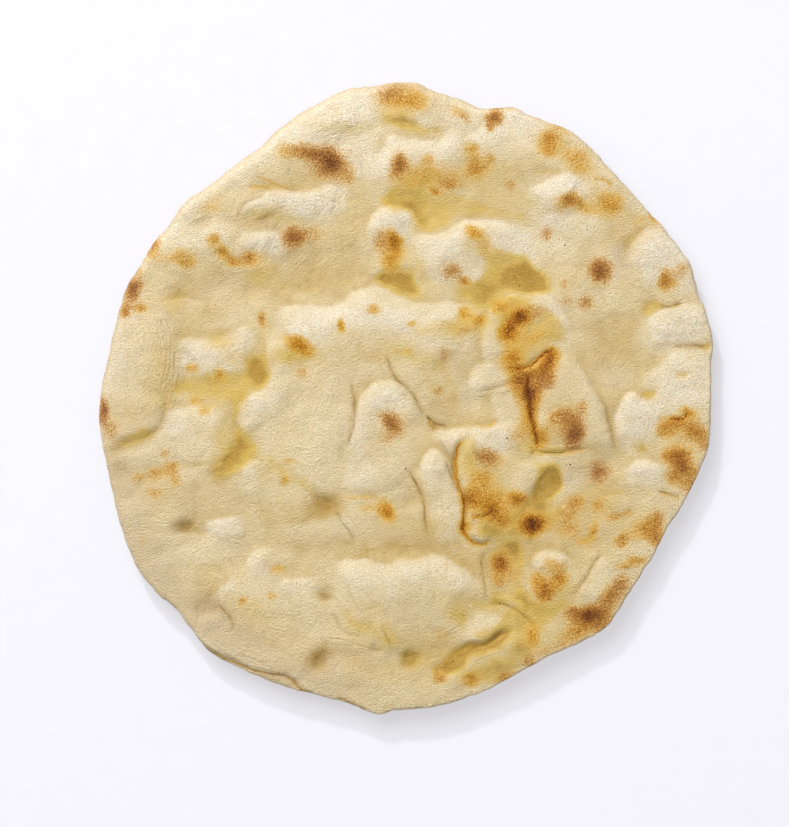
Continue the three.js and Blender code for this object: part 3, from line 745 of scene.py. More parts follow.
FOLDS = (
    # far left
    Fold(((-28, 99), (-33, 101), (-40, 100), (-50, 98), (-60, 99), (-66, 97.5), (-72, 95), (-77, 91), (-80, 86)), 0.9,
        5, 14),
    Fold(((-77, 82), (-84, 83.5), (-91, 82), (-96, 77)), 0.4, 4, 8),
    Fold(((-61, 77), (-67, 79), (-73, 77.5), (-76, 72)), 0.6, 4, 8),
    Fold(((-20, 104), (-25, 110), (-33, 121), (-46, 124), (-60, 120), (-72, 110)), 0.3, 8, 16, flour=0.0),
    Fold(((-50, 62), (-62, 66), (-76, 65), (-90, 62)), 0.5, 6, 12),
    Fold(((-92, 44), (-104, 48), (-114, 46), (-120, 40)), 0.6, 5, 12),
    # far side
    Fold(((24, 130), (18, 124.5), (13, 121.5), (6, 122), (0, 122.5), (-7, 124.5), (-10, 119), (-15, 113), (-21, 107)),
        1.7, 8, 28),
    Fold(((57, 80), (50, 82.5), (40, 84.5), (28, 84), (22, 81), (19, 79), (14, 77.5), (8, 77.5), (1, 78)), 1.5, 6,
        18),
    Fold(((5, 86), (-3, 91), (-10, 91), (-15, 88), (-18, 82), (-19, 73)), 1.3, 5, 14),
    Fold(((-10, 131.5), (0, 130.8), (8, 129.5), (18, 129.5)), 0.4, 2, 14, flour=0.0, ends=0.3),
    Fold(((85, 103), (78, 106.5), (72, 105.5), (67, 103), (58, 100)), 1.2, 6, 16),
    Fold(((60, 92), (68, 90), (78, 88), (86, 89)), 0.3, 3, 9, ends=0.3),
    Fold(((119, 84), (112, 79), (105, 71), (103, 60)), 1.5, 7, 16),
    Fold(((52, 126), (44, 129), (34, 127), (26, 122)), 0.6, 5, 14, ends=0.3),
    Fold(((-17, 58), (-8, 61.5), (3, 61.5), (8, 62)), 0.7, 2.5, 8, ends=0.3),
    # left side
    Fold(((-69, 31), (-77, 34), (-84, 30.5), (-90, 28), (-98, 27.5), (-104, 29), (-108, 26), (-109, 19)), 0.8, 6, 14),
    Fold(((-65, 34), (-66, 24), (-65, 14), (-66, 7), (-70, 3), (-76, 0), (-79, -5), (-80, -12), (-78, -18),
        (-74, -22)), 1.4, 6, 10),
    Fold(((-140, -26), (-132, -22.5), (-125, -19.5), (-119, -16), (-115, -9), (-113, 2)), 0.9, 4.5, 18, flour=0.0),
    Fold(((-83, -6), (-95, -4), (-105, -4), (-115, -8)), 0.8, 6, 18),
    Fold(((-67, -30), (-74, -29), (-80, -35)), 0.8, 4, 12, ends=0.3),
    Fold(((-84, -38), (-92, -33), (-104, -33), (-116, -30)), 0.5, 4, 12, ends=0.3),
    # middle
    Fold(((40, 46), (31, 45), (22, 45.5), (13, 45), (5, 45.5), (0, 48), (-7, 50.5), (-12, 53), (-20, 52.5), (-26, 49),
        (-30, 45), (-40, 43.5), (-55, 44), (-64, 42)), 1.7, 12, 22, ends=0.1),
    Fold(((2, 3), (-6, 8.5), (-13, 8), (-20, 3), (-24, -6), (-26, -16), (-30, -30)), 1.2, 5, 18),
    Fold(((-32, -42), (-22, -45.5), (-12, -44.5), (-4, -41), (3, -34), (7, -28)), 0.8, 4, 14, flour=0.0, ends=0.3),
    Fold(((10.5, -10), (6, -4), (3, 1), (-1, 5), (-5, 9)), 0.8, 2.5, 12, flour=0.0, ends=0.3),
    Fold(((53, -9), (42, -12.5), (34, -14), (28, -13.5), (20, -15), (14, -15.5), (10, -21)), 1.5, 6, 10),
    Fold(((24, -37), (20, -28.5), (15, -24), (10, -25), (7.5, -31), (6, -39)), 1.1, 4.5, 14),
    Fold(((36, -18.5), (29, -20), (25.5, -26), (24.5, -34), (26, -43), (28.5, -52), (28.5, -63)), 1.9, 4, 18),
    Fold(((40, 45), (38, 38), (36.5, 30), (36, 22), (37, 15)), 1.2, 4, 7),
    Fold(((46, 15.5), (38, 17.5), (32, 14), (30, 8), (30, 2)), 0.6, 4.5, 10),
    Fold(((28, -61), (33, -68), (38, -69.5), (44, -67)), 0.8, 3, 12, flour=0.0, ends=0.3),
    Fold(((58, 1), (50, 6.5), (44, 5.5), (40, 1), (41, -7)), 0.6, 3.5, 10, ends=0.25),
    # right side
    Fold(((80, 26), (77, 36), (73, 44), (68, 49), (62, 50), (55, 48), (48, 48), (41, 46), (38, 40)), 1.1, 5, 18,
        flour=0.3),
    Fold(((72, 23), (65, 18.5), (60, 14), (59, 6), (58.5, -3), (60, -12), (61.5, -23)), 1.8, 4.5, 22),
    Fold(((100, -30), (98, -20), (97, -15), (95, -8), (92, 0), (89, 7), (86, 12), (82, 18), (78, 24)), 1.2, 5, 14,
        flour=0.3),
    Fold(((121, -7), (113, -1.5), (108, 3), (103, 0.5), (99.5, -8), (99, -15), (101, -24)), 1.3, 5, 13),
    Fold(((126, -33), (115, -29.5), (108, -30), (103, -37)), 1.1, 4, 9, ends=0.25),
    Fold(((145, 41), (134, 45), (126, 43), (118, 40), (112, 35)), 0.9, 6, 12),
    Fold(((145, 23), (136, 23), (128, 22), (118, 15), (112, 8)), 0.5, 5, 13),
    Fold(((57, -54), (60, -45), (64, -37), (71, -32)), 0.9, 2.5, 10, flour=0.0, ends=0.25),
    Fold(((94, -25), (75, -26), (66, -26.5), (59, -28)), 0.7, 4, 8, ends=0.25),
    Fold(((110, -52), (104, -46), (96, -46), (90, -52)), 0.6, 5, 12, ends=0.3),
    Fold(((82, 44), (90, 52), (96, 44), (98, 32)), 0.5, 6, 14, flour=0.0, ends=0.3),
    # near side
    Fold(((-75, -57), (-83, -56), (-92, -57.5), (-97, -62)), 0.9, 4.5, 9, ends=0.25),
    Fold(((-61, -72), (-68, -70), (-74, -74), (-77, -82)), 0.8, 5, 12, ends=0.25),
    Fold(((-41, -84), (-50, -85), (-58, -86), (-63, -91)), 0.7, 5, 14, ends=0.25),
    Fold(((-81, -83), (-88, -90), (-95, -96.5), (-102, -101)), 0.8, 5, 12, ends=0.25),
    Fold(((-104, -108), (-97, -115), (-90, -119.5), (-83, -122.5), (-76, -126), (-68, -130), (-60, -130.5),
        (-54, -132.5), (-48, -138)), 0.8, 1.6, 12, ends=0.15),
    Fold(((38, -90), (32, -84), (25, -79), (20, -76), (15, -74), (5, -76), (-3, -76), (-7, -79), (-12, -78),
        (-20, -76), (-30, -77), (-38, -81)), 1.5, 9, 22, ends=0.15),
    Fold(((54, -107), (46, -111.5), (40, -116), (33, -118), (26, -121), (19, -127), (12, -131)), 1.1, 4, 12,
        flour=0.3),
    Fold(((27, -115), (35, -116), (42, -113.5), (49, -109)), 1.0, 3, 9, flour=0.0, ends=0.25),
    Fold(((39, -100), (37.5, -90), (36.5, -80), (37, -71)), 0.5, 2.5, 8, flour=0.0, ends=0.3),
    Fold(((80, -79), (74, -73), (67, -72), (61, -75), (59, -83)), 1.4, 5, 14),
    Fold(((98, -75), (92, -76), (88, -81), (84, -88), (80, -96)), 0.8, 5, 14, flour=0.3),
    Fold(((-20, -58), (-36, -56), (-52, -60), (-64, -58)), 0.5, 5, 14, ends=0.3),
    Fold(((24, -50), (14, -53), (4, -50), (-6, -54)), 0.4, 5, 10, ends=0.3),
    Fold(((-118, -52), (-128, -48), (-138, -50)), 0.5, 4, 12, ends=0.3),
    Fold(((-106, -78), (-114, -74), (-124, -76)), 0.5, 5, 12, ends=0.3),
)

CREASES = (
    Crease(((-113, 4), (-113.5, -2), (-115, -8), (-117, -13), (-121, -17.5), (-130, -21), (-138, -25)), 0.3, lip=0.1,
        burn=0.05, seam=0.25),
    Crease(((-73, 106), (-66, 103), (-58, 99.5), (-50, 98)), 0.2, width=1.4, lip=0.1, burn=0.2, seam=0.45),
    Crease(((-75, 100), (-68, 99.5), (-62, 98)), 0.15, width=1.4, lip=0.1, burn=0.25, seam=0.4),
    Crease(((-80, 84), (-77, 90.5), (-72, 94), (-66, 96.5)), 0.2, width=0.8, seam=0.45),
    Crease(((-73, 84), (-66, 86), (-60, 88)), 0.15, width=1.6, lip=0.1, burn=0.15, seam=0.4),
    Crease(((-9, 21), (-7, 14), (-4, 9), (0, 6), (4, 1), (7, -5), (10, -9.5)), 0.32, width=0.8, burn=0.08, seam=0.5,
        ends=0.1),
    Crease(((9, -8), (13, -11), (20, -14)), 0.45, width=0.8, burn=0.08, seam=0.8),
    Crease(((32, -11), (38, -13.5), (44, -9)), 0.3, width=1.2, lip=0.2, burn=0.2, seam=0.2),
    Crease(((11, -10), (13, -14), (16, -14.5)), 0.3, width=0.8, lip=0.1, burn=0.3),
    Crease(((-27, 10), (-25, 4), (-24, 0), (-24.5, -8), (-26, -19), (-28, -26)), 0.38, width=0.8, burn=0.08,
        seam=0.5),
    Crease(((0, -33), (4, -38), (7, -45), (9, -51), (9, -57), (10, -66)), 0.5, width=0.8, burn=0.12),
    Crease(((18, -28), (22, -36), (25, -41)), 0.4, width=0.8, burn=0.08, seam=0.5),
    Crease(((30, -20), (26, -22), (24, -28), (24, -35), (25, -42), (28, -48), (28, -55), (27.5, -62), (30, -67),
        (35, -69.5), (42, -67)), 1.1, width=1.0, burn=0.6, ends=0.1),
    Crease(((30, -56), (36, -56), (42, -54)), 0.4, width=0.7, lip=0.2, burn=0.5),
    Crease(((49, 14), (57, 15), (63, 18.5), (67, 22), (71, 22)), 0.6, width=0.8, lip=0.2, burn=0.85),
    Crease(((59, 12), (58, 6), (58, 0), (59.5, -8), (61, -15), (62, -22), (61, -25)), 1.4, width=1.0, burn=0.8,
        ends=0.12),
    Crease(((57, -30), (61, -25), (66, -25.5), (75, -25), (88, -24)), 0.4, width=0.8, burn=0.1, seam=0.6),
    Crease(((80, 22), (83, 15), (87, 9), (92, 0), (96, -9), (98, -18), (100, -30)), 0.22, width=0.8, lip=0.2,
        burn=0.1, seam=0.25),
    Crease(((33, 3), (40, 4), (47, 6), (53, 9)), 0.25, width=0.9, lip=0.2, seam=0.3),
    Crease(((118, -44), (124, -46), (131, -47.5)), 0.36, width=0.9, lip=0.2, burn=0.2),
    Crease(((-34, -53), (-30, -59), (-24, -68)), 0.22, width=0.7, seam=0.4),
    Crease(((37, -71), (36.5, -80), (37.5, -90), (39, -99)), 0.18, width=0.9, lip=0.2, burn=0.1, seam=0.3),
    Crease(((39, -98), (45, -97), (50, -98.5), (55, -102), (59, -106), (63, -110)), 0.45, width=0.8, lip=0.4,
        burn=0.2, seam=0.6),
    Crease(((93, -73), (89, -78), (86, -84), (82, -90), (80, -95)), 0.28, width=1.0, burn=0.1, seam=0.3),
    Crease(((-11, -107), (-9, -112), (-7, -118)), 0.2, width=0.8, lip=0.2, burn=0.1, seam=0.3),
    Crease(((-35, -100), (-32, -107), (-28, -111), (-20, -113)), 0.2, width=0.9, lip=0.2, seam=0.25),
    Crease(((-90, -97), (-84, -102), (-81, -108), (-84, -112)), 0.3, width=0.7, seam=0.6),
    Crease(((12, -131), (20, -124.5), (26, -120), (31, -116.5), (37, -117), (43, -114), (50, -110)), 0.25, width=1.6,
        lip=0.2, burn=0.25, seam=0.3),
    Crease(((124, -9.5), (130, -10), (133, -8), (135, -5.5)), 0.48, width=0.8, lip=0.2, burn=0.6),
    Crease(((88, 104), (94, 103), (99, 100)), 0.2, width=0.8, lip=0.2, burn=0.3, seam=0.4),
    Crease(((120, 43), (126, 43.5), (132, 45)), 0.3, width=0.8, lip=0.2, burn=0.2),
    Crease(((126, 24), (136, 24.5), (143, 24)), 0.2, width=0.8, lip=0.2, burn=0.1, seam=0.35),
    Crease(((-8, 131.5), (0, 131), (6, 129.5)), 0.2, width=0.8, lip=0.2, burn=0.15, seam=0.4),
    Crease(((-103, -110), (-97, -117.5), (-90, -121), (-84, -124), (-76, -127.5), (-68, -129.5), (-58, -131),
        (-54, -133), (-49, -138), (-42, -141)), 0.66, width=0.7, burn=0.2, ends=0.08),
    Crease(((-34, -141.5), (-26, -144), (-18, -148)), 0.3, width=0.7, lip=0.2, burn=0.1),
)

PLEATS = (
    Pleats(((-121, 46), (-115, 32), (-112, 20), (-113, 8), (-115, -2)), 9, strength=1.5),
    Pleats(((-54, 126), (-42, 128), (-28, 131), (-14, 128)), 7, strength=0.8),
    Pleats(((-30, 120), (-24, 112), (-24, 102)), 5, strength=0.8),
    Pleats(((-52, 95), (-40, 95), (-28, 88)), 6, strength=0.6),
    Pleats(((-136, -58), (-120, -57), (-106, -61), (-96, -60)), 9, strength=0.5),
    Pleats(((-96, -66), (-86, -67), (-76, -70), (-68, -78)), 7, strength=0.4),
    Pleats(((-62, -62), (-50, -56), (-38, -50), (-28, -60)), 9, strength=0.4),
    Pleats(((-96, -112), (-84, -119), (-70, -124), (-54, -128)), 7),
    Pleats(((-40, -114), (-26, -116), (-12, -119)), 6),
    Pleats(((-14, -104), (-9, -112), (-6, -122)), 5),
    Pleats(((-70, 66), (-66, 54), (-60, 46)), 7, strength=0.8),
    Pleats(((30, 10), (36, 0), (34, -10)), 8, strength=0.7),
    Pleats(((66, -72), (78, -66), (92, -60), (104, -62)), 9, strength=0.3),
    Pleats(((8, 132), (12, 127), (4, 125)), 5, strength=0.6),
    Pleats(((-74, 6), (-78, -8), (-72, -20)), 5, strength=0.7),
    Pleats(((12, 62), (20, 58), (30, 60)), 6, strength=0.7),
    Pleats(((110, 50), (120, 44), (134, 42)), 6, strength=0.6),
    Pleats(((-60, -20), (-48, -26), (-36, -22)), 12, strength=0.5),
    Pleats(((-50, 12), (-36, 4), (-40, -10)), 12, strength=0.5),
    Pleats(((16, -100), (26, -106), (14, -112)), 9, strength=0.6),
    Pleats(((42, -120), (52, -115), (62, -112)), 6, strength=0.6),
    Pleats(((-110, -80), (-98, -92), (-90, -86)), 12, strength=0.5),
    Pleats(((-60, -94), (-66, -108), (-50, -112)), 12, strength=0.5),
    Pleats(((96, 10), (104, 24), (98, 40)), 12, strength=0.5),
    Pleats(((86, -40), (98, -48), (108, -56)), 10, strength=0.5),
)

TOASTS = tuple(Toast(*row) for row in (  # x, y, across, along, strength, amber, turn
    # far rim
    (-2, 141, 14, 6.6, 0.5, 0.8), (-8, 144, 7, 4, 0.4, 0.1), (-2, 147.5, 11, 2.6, 0.25, 0),
    (6, 139.5, 6, 6, 0.2, 0.9), (24, 136, 5, 4, 0.24, 0.8, -30), (28, 133, 4, 4, 0.38, 0.4, -40),
    (42, 133, 5, 5, 0.85, 0.35, 20), (46, 138, 8, 2.6, 0.4, 0, -10), (40, 128, 3, 3, 0.4, 0.4),
    (-36, 111, 8.5, 8.5, 0.95, 0.2, 20), (-35, 112, 5.5, 6.5, 0.35, 0.3, 20), (-45, 116, 7, 4.4, 0.2, 0.4),
    (20, 107, 17, 8, 0.05, 0.7, 8), (36, 112, 7, 11, 0.03, 0.7), (32, 108, 6, 4, 0.1, 0.3, 30),
    (-46, 116, 11, 5, 0.6, 0.35, -10), (-27, 105, 5, 6, 0.4, 0.5, 30), (-57, 116, 7, 6, 0.28, 0.8),
    (-3, 110, 5, 7.5, 0.8, 0.4, -10), (9, 106, 13, 7, 0.3, 0.95), (11, 113, 4, 3.5, 0.3, 0.7), (21, 101, 6, 4, 0.5),
    (14, 97.5, 3.5, 1.8, 0.6, 0.9, -15), (33, 110, 4.5, 6, 0.44, 0.65, 30), (31, 118, 4.5, 3.5, 0.36, 0.85),
    (40, 113, 3.6, 5.6, 0.32, 0.6), (35, 109, 9, 11, 0.08, 0.95), (50, 101, 4.5, 4, 0.42, 0.3),
    (-42, 106, 12, 6, 0.07, 0.9), (26, 105, 16, 8, 0.11, 1.0), (3, 101, 12, 4, 0.14, 1.0),
    # far right
    (68, 121, 8, 8, 0.38, 0.9), (68, 123, 4, 4, 0.35, 0.6), (67, 117, 5, 3.5, 0.3, 0.7),
    (81, 114, 9, 7, 0.38, 0.7, -30), (73, 128, 6, 3, 0.32, 0.35, -30), (77.5, 94, 6, 4.2, 0.56, 0.55),
    (84, 90, 7, 3.4, 0.4, 0.7, -30), (74, 91, 9, 5, 0.18, 1.0, 10), (97, 91.5, 8, 7.5, 0.5, 0.85),
    (88, 95, 11, 8, 0.1, 0.95), (67, 77.5, 4.5, 4, 0.5, 0.25), (92, 60, 6.8, 7, 1.0, 0.25), (75, 54, 3, 3, 0.4, 0.4),
    (85, 45, 5.5, 4.5, 0.5, 0.25), (76, 46, 4, 5, 0.32, 0.3), (123, 56, 4.2, 6, 0.62, 0.6),
    (125, 53, 7, 5, 0.14, 1.0), (131, 61, 4.5, 5, 0.34), (118, 85, 4, 4, 0.4, 0.6), (84, 108, 9, 6, 0.16, 1.0, -30),
    (127, 57, 8, 7, 0.07, 0.9), (110, 84, 6, 5, 0.2, 0.8),
    # left side
    (-53, 76, 7, 6.5, 0.88, 0.25), (-42, 78, 9, 5, 0.3, 0.65), (-91, 75, 4, 4.5, 0.45, 0.8, -40),
    (-87, 69.5, 3.5, 4, 0.48, 0.8, -30), (-82, 65, 5.5, 3, 0.55, 0.7, -30), (-74, 66, 5, 4.5, 0.62),
    (-68, 66, 9, 5, 0.14, 1.0), (-107, 67, 10, 5, 0.3, 0.9, 10), (-103, 63.5, 5.5, 4, 0.38, 0.7),
    (-92, 90, 9, 5, 0.2, 1.0, 10), (-119, 67, 6, 4, 0.15, 0.9), (-120, 72, 4, 5.5, 0.62, 0.4, -30),
    (-129, 51, 5, 8, 0.85, 0.15, -15), (-133, 41, 4, 5, 0.6, 0.4), (-125, 42.5, 4, 3, 0.5, 0.7),
    (-126, 60, 3, 4, 0.25, 0.3), (-143, -6, 3.2, 8, 0.85, 0.1), (-139, -15, 5, 7, 0.42, 0.3),
    (-132, -20.5, 7, 2.4, 0.22, 0.2, 22), (-122, -17, 5, 2, 0.14, 0.2, 30), (-113, 2, 1.6, 5, 0.2, 0.3),
    (-68, 37, 2.6, 5.5, 0.6), (-88, 11, 4, 4.5, 0.42, 1.0), (-101, 14, 4, 3.5, 0.35, 1.0),
    (-100, -1, 3.5, 3, 0.3, 1.0), (-95, -6, 5, 4, 0.3, 1.0), (-118, -36, 5, 4, 0.42, 0.55),
    (-111, -33, 5, 4, 0.48, 0.55), (-109, -39, 4, 5, 0.36), (-126, -38, 5, 4, 0.35), (-118, -45, 5.5, 3.5, 0.4, 0.45),
    (-114, -26, 4, 3, 0.35, 0.4), (-57, -39, 3, 3, 0.4, 1.0), (-55, -30, 6, 2, 0.25, 1.0), (-124, -68, 5, 4, 0.22),
    (-77, -96, 2.8, 2.8, 0.42, 0.7), (-63, -94, 3.4, 3, 0.3, 0.8), (-60, -81, 5, 3, 0.3, 1.0),
    # middle
    (-12, 74, 5, 7, 0.36, 0.35), (-5.5, 74, 3.6, 6.6, 0.7, 1.0, 22), (-7, 64, 4.5, 5.5, 0.42, 1.0),
    (-6, 69, 8, 11, 0.25, 1.0, 10), (22, 60, 6.5, 5, 0.55, 0.25), (28, 55, 3.8, 3, 0.6, 0.8),
    (32, 78, 4.5, 3.6, 0.5, 1.0, -30), (38, 70, 4.5, 7, 0.26, 1.0), (34, 76, 7, 7, 0.12, 1.0),
    (-50, 24.5, 9, 4.4, 0.7, 1.0, -32), (-49, 12, 5, 4, 0.35), (-30.5, 34, 2.6, 4.2, 0.55, 1.0),
    (-15, 42, 4.2, 3.6, 0.4, 0.9), (28, 40, 4.4, 4, 0.46, 1.0, 20), (35, 36.5, 3.8, 3, 0.46, 1.0),
    (28, 31.5, 6, 3, 0.34, 0.4), (18, 20, 3.6, 5.6, 0.42, 0.25), (15, 3, 3, 3.2, 0.45, 0.4),
    (3, 35, 3, 2.4, 0.32, 1.0), (1, 22, 4, 3, 0.25, 1.0), (30, 36, 9, 6, 0.1, 1.0),
    (54.5, 38.5, 5, 4.8, 1.0, 0.95, 30), (50, 34, 5, 6, 0.75, 0.95, -30), (48, 30, 4.5, 4.5, 0.6, 0.95),
    (45, 43, 7, 4.5, 0.45, 1.0), (62, 41, 6.5, 5.5, 0.4, 0.4), (61, 29, 9, 5, 0.28, 1.0, 20),
    (51, 19, 6.5, 5, 0.6, 1.0), (51, 13.5, 5, 3.4, 0.45, 0.9), (53, 25, 12, 10, 0.14, 1.0),
    (68, 18, 4.6, 5.6, 0.85, 0.85, -20), (70, 21.5, 4, 3, 0.5, 1.0), (66, 13, 5.5, 5, 0.7, 0.7),
    (66, 7, 6.5, 5, 0.55, 0.1), (58.5, 2, 6, 7, 1.0, 0.7, -30), (53, 8, 6, 5, 0.7, 0.7), (58, 11, 7, 4, 0.6, 0.8),
    (60, -8, 2.6, 9, 0.6, 0.95), (56, -10, 4, 7, 0.3, 1.0), (64, -19, 4, 5.5, 0.5, 1.0),
    (80, -17, 6, 8.6, 0.9, 0.1, -10), (75, -9, 7, 5.5, 0.5, 0.25), (84, -4, 4, 5, 0.36, 0.4, -40),
    (73, -12, 13, 12, 0.22, 1.0), (54, -18, 8, 6, 0.3, 0.7), (-7, -12, 8, 4.6, 0.8, 0.25, -48),
    (-9, -19, 6, 4.5, 0.32, 0.4), (0, -11, 9, 7, 0.14, 0.6), (39, -28, 8, 4.6, 0.66, 0.35, -12),
    (36, -38, 7, 6, 0.42, 0.75), (38, -49, 12, 8, 0.4, 1.0), (31, -47, 4.5, 5.5, 0.6, 0.8),
    (41, -53, 6, 6, 0.65, 0.85), (46, -58, 6, 5, 0.5, 0.9), (53, -48, 5.5, 4.5, 0.7, 0.9),
    (28, -61, 3.4, 4, 0.65, 1.0), (60, -59.5, 7, 6, 0.9, 0.95, 10), (60, -60, 6.4, 5.4, 0.75, 0.95, 10),
    (-9, -54, 4.6, 6, 0.72, 1.0, 20), (-18, -52, 5, 3.4, 0.25, 0.9), (-22, -47, 11, 1.6, 0.25, 1.0),
    (40, -46, 18, 18, 0.1, 1.0),
    # right side
    (92, -35, 6.6, 7, 0.7, 0.15), (86, -56, 16, 11, 0.07, 0.8), (96, -50, 5, 4, 0.15, 0.6, 20),
    (70, -62, 6, 4, 0.12, 0.8), (81, -49, 5, 4.6, 0.45, 0.6), (76, -55, 7, 7, 0.4, 0.6), (78, -63, 6, 4, 0.34, 0.6),
    (91, -51, 3, 5, 0.4, 0.6), (99, -56, 5, 3, 0.42, 0.6), (105, -54, 3, 2.6, 0.34, 0.6),
    (89, -63, 2.2, 5.5, 0.45, 0.95, -8), (84, -68, 6, 3, 0.3, 0.95), (123, -15, 6, 5.5, 0.5, 0.7),
    (129, -11.5, 7, 4, 0.5, 0.8), (137, -16, 7, 5.5, 0.58, 0.6), (134, -7, 5, 3, 0.5, 0.9, -30),
    (129, -27, 6, 5, 0.66, 0.7), (131, -32, 5.5, 6, 0.8, 0.5, -20), (134, -42, 5, 5, 0.45, 0.4),
    (141, -21, 4, 6, 0.42, 0.4), (124, -27, 5, 4, 0.4, 0.6), (127, -38, 5.5, 4.5, 0.5, 0.6), (136, -36, 4, 5, 0.45),
    (130, -21, 13, 17, 0.08, 1.0), (131, 11, 5, 2.4, 0.2, 1.0), (103, -67, 5.5, 4.5, 0.55, 0.55, 40),
    (114, -62, 8, 6.4, 0.52, 0.75), (119, -57, 4.4, 5.5, 0.5, 0.45), (119, -67, 4, 6, 0.55),
    (109, -77, 7, 3.6, 0.42, 0.8), (103, -79.5, 6, 2, 0.35, 0.6),
    # near side
    (66, -91, 5.5, 5.5, 0.7, 0.75), (66, -94, 3.4, 2.6, 0.4, 0.6), (73, -86, 4.6, 5.6, 0.6, 0.85, -10),
    (62, -86, 4, 5, 0.4, 0.9), (70, -79, 7, 4, 0.32, 0.7), (68, -86, 11, 12, 0.1, 1.0),
    (45, -78.5, 5.4, 7.6, 0.85, 0.75, -12), (52, -84, 4.5, 3.6, 0.32, 0.6), (45, -87, 5, 4, 0.34, 0.6),
    (87, -103, 9, 5.2, 1.0, 0.5, 12), (87, -103, 8.5, 4, 0.45, 0.6, 12), (79, -101, 5, 4, 0.5),
    (97, -95, 8, 4.8, 0.56, 0.4, 45), (102, -88, 6, 6, 0.58, 0.25, 30), (83, -110, 10, 4, 0.5, 0.8, 15),
    (92, -108, 5, 4, 0.36, 0.2, 30), (95, -104, 6, 5, 0.3, 0.2, 40), (95, -92, 7, 5, 0.15, 1.0, 45),
    (75, -116, 8, 3.6, 0.34, 0.5, 18), (66, -120, 6, 3, 0.3, 0.3, 25), (60, -113, 4.6, 6.4, 0.5, 0.95),
    (58, -124, 4.6, 4.4, 0.55, 0.35), (47, -132, 6, 3, 0.55, 0.5, 22), (31, -133, 5.4, 4.4, 0.5, 0.95),
    (16, -132.5, 4.6, 4, 0.55, 0.6), (17, -112, 5, 4, 0.25), (64, -108, 18, 8, 0.06, 1.0, 15),
    (36, -131, 16, 5, 0.08, 1.0, 12),
))

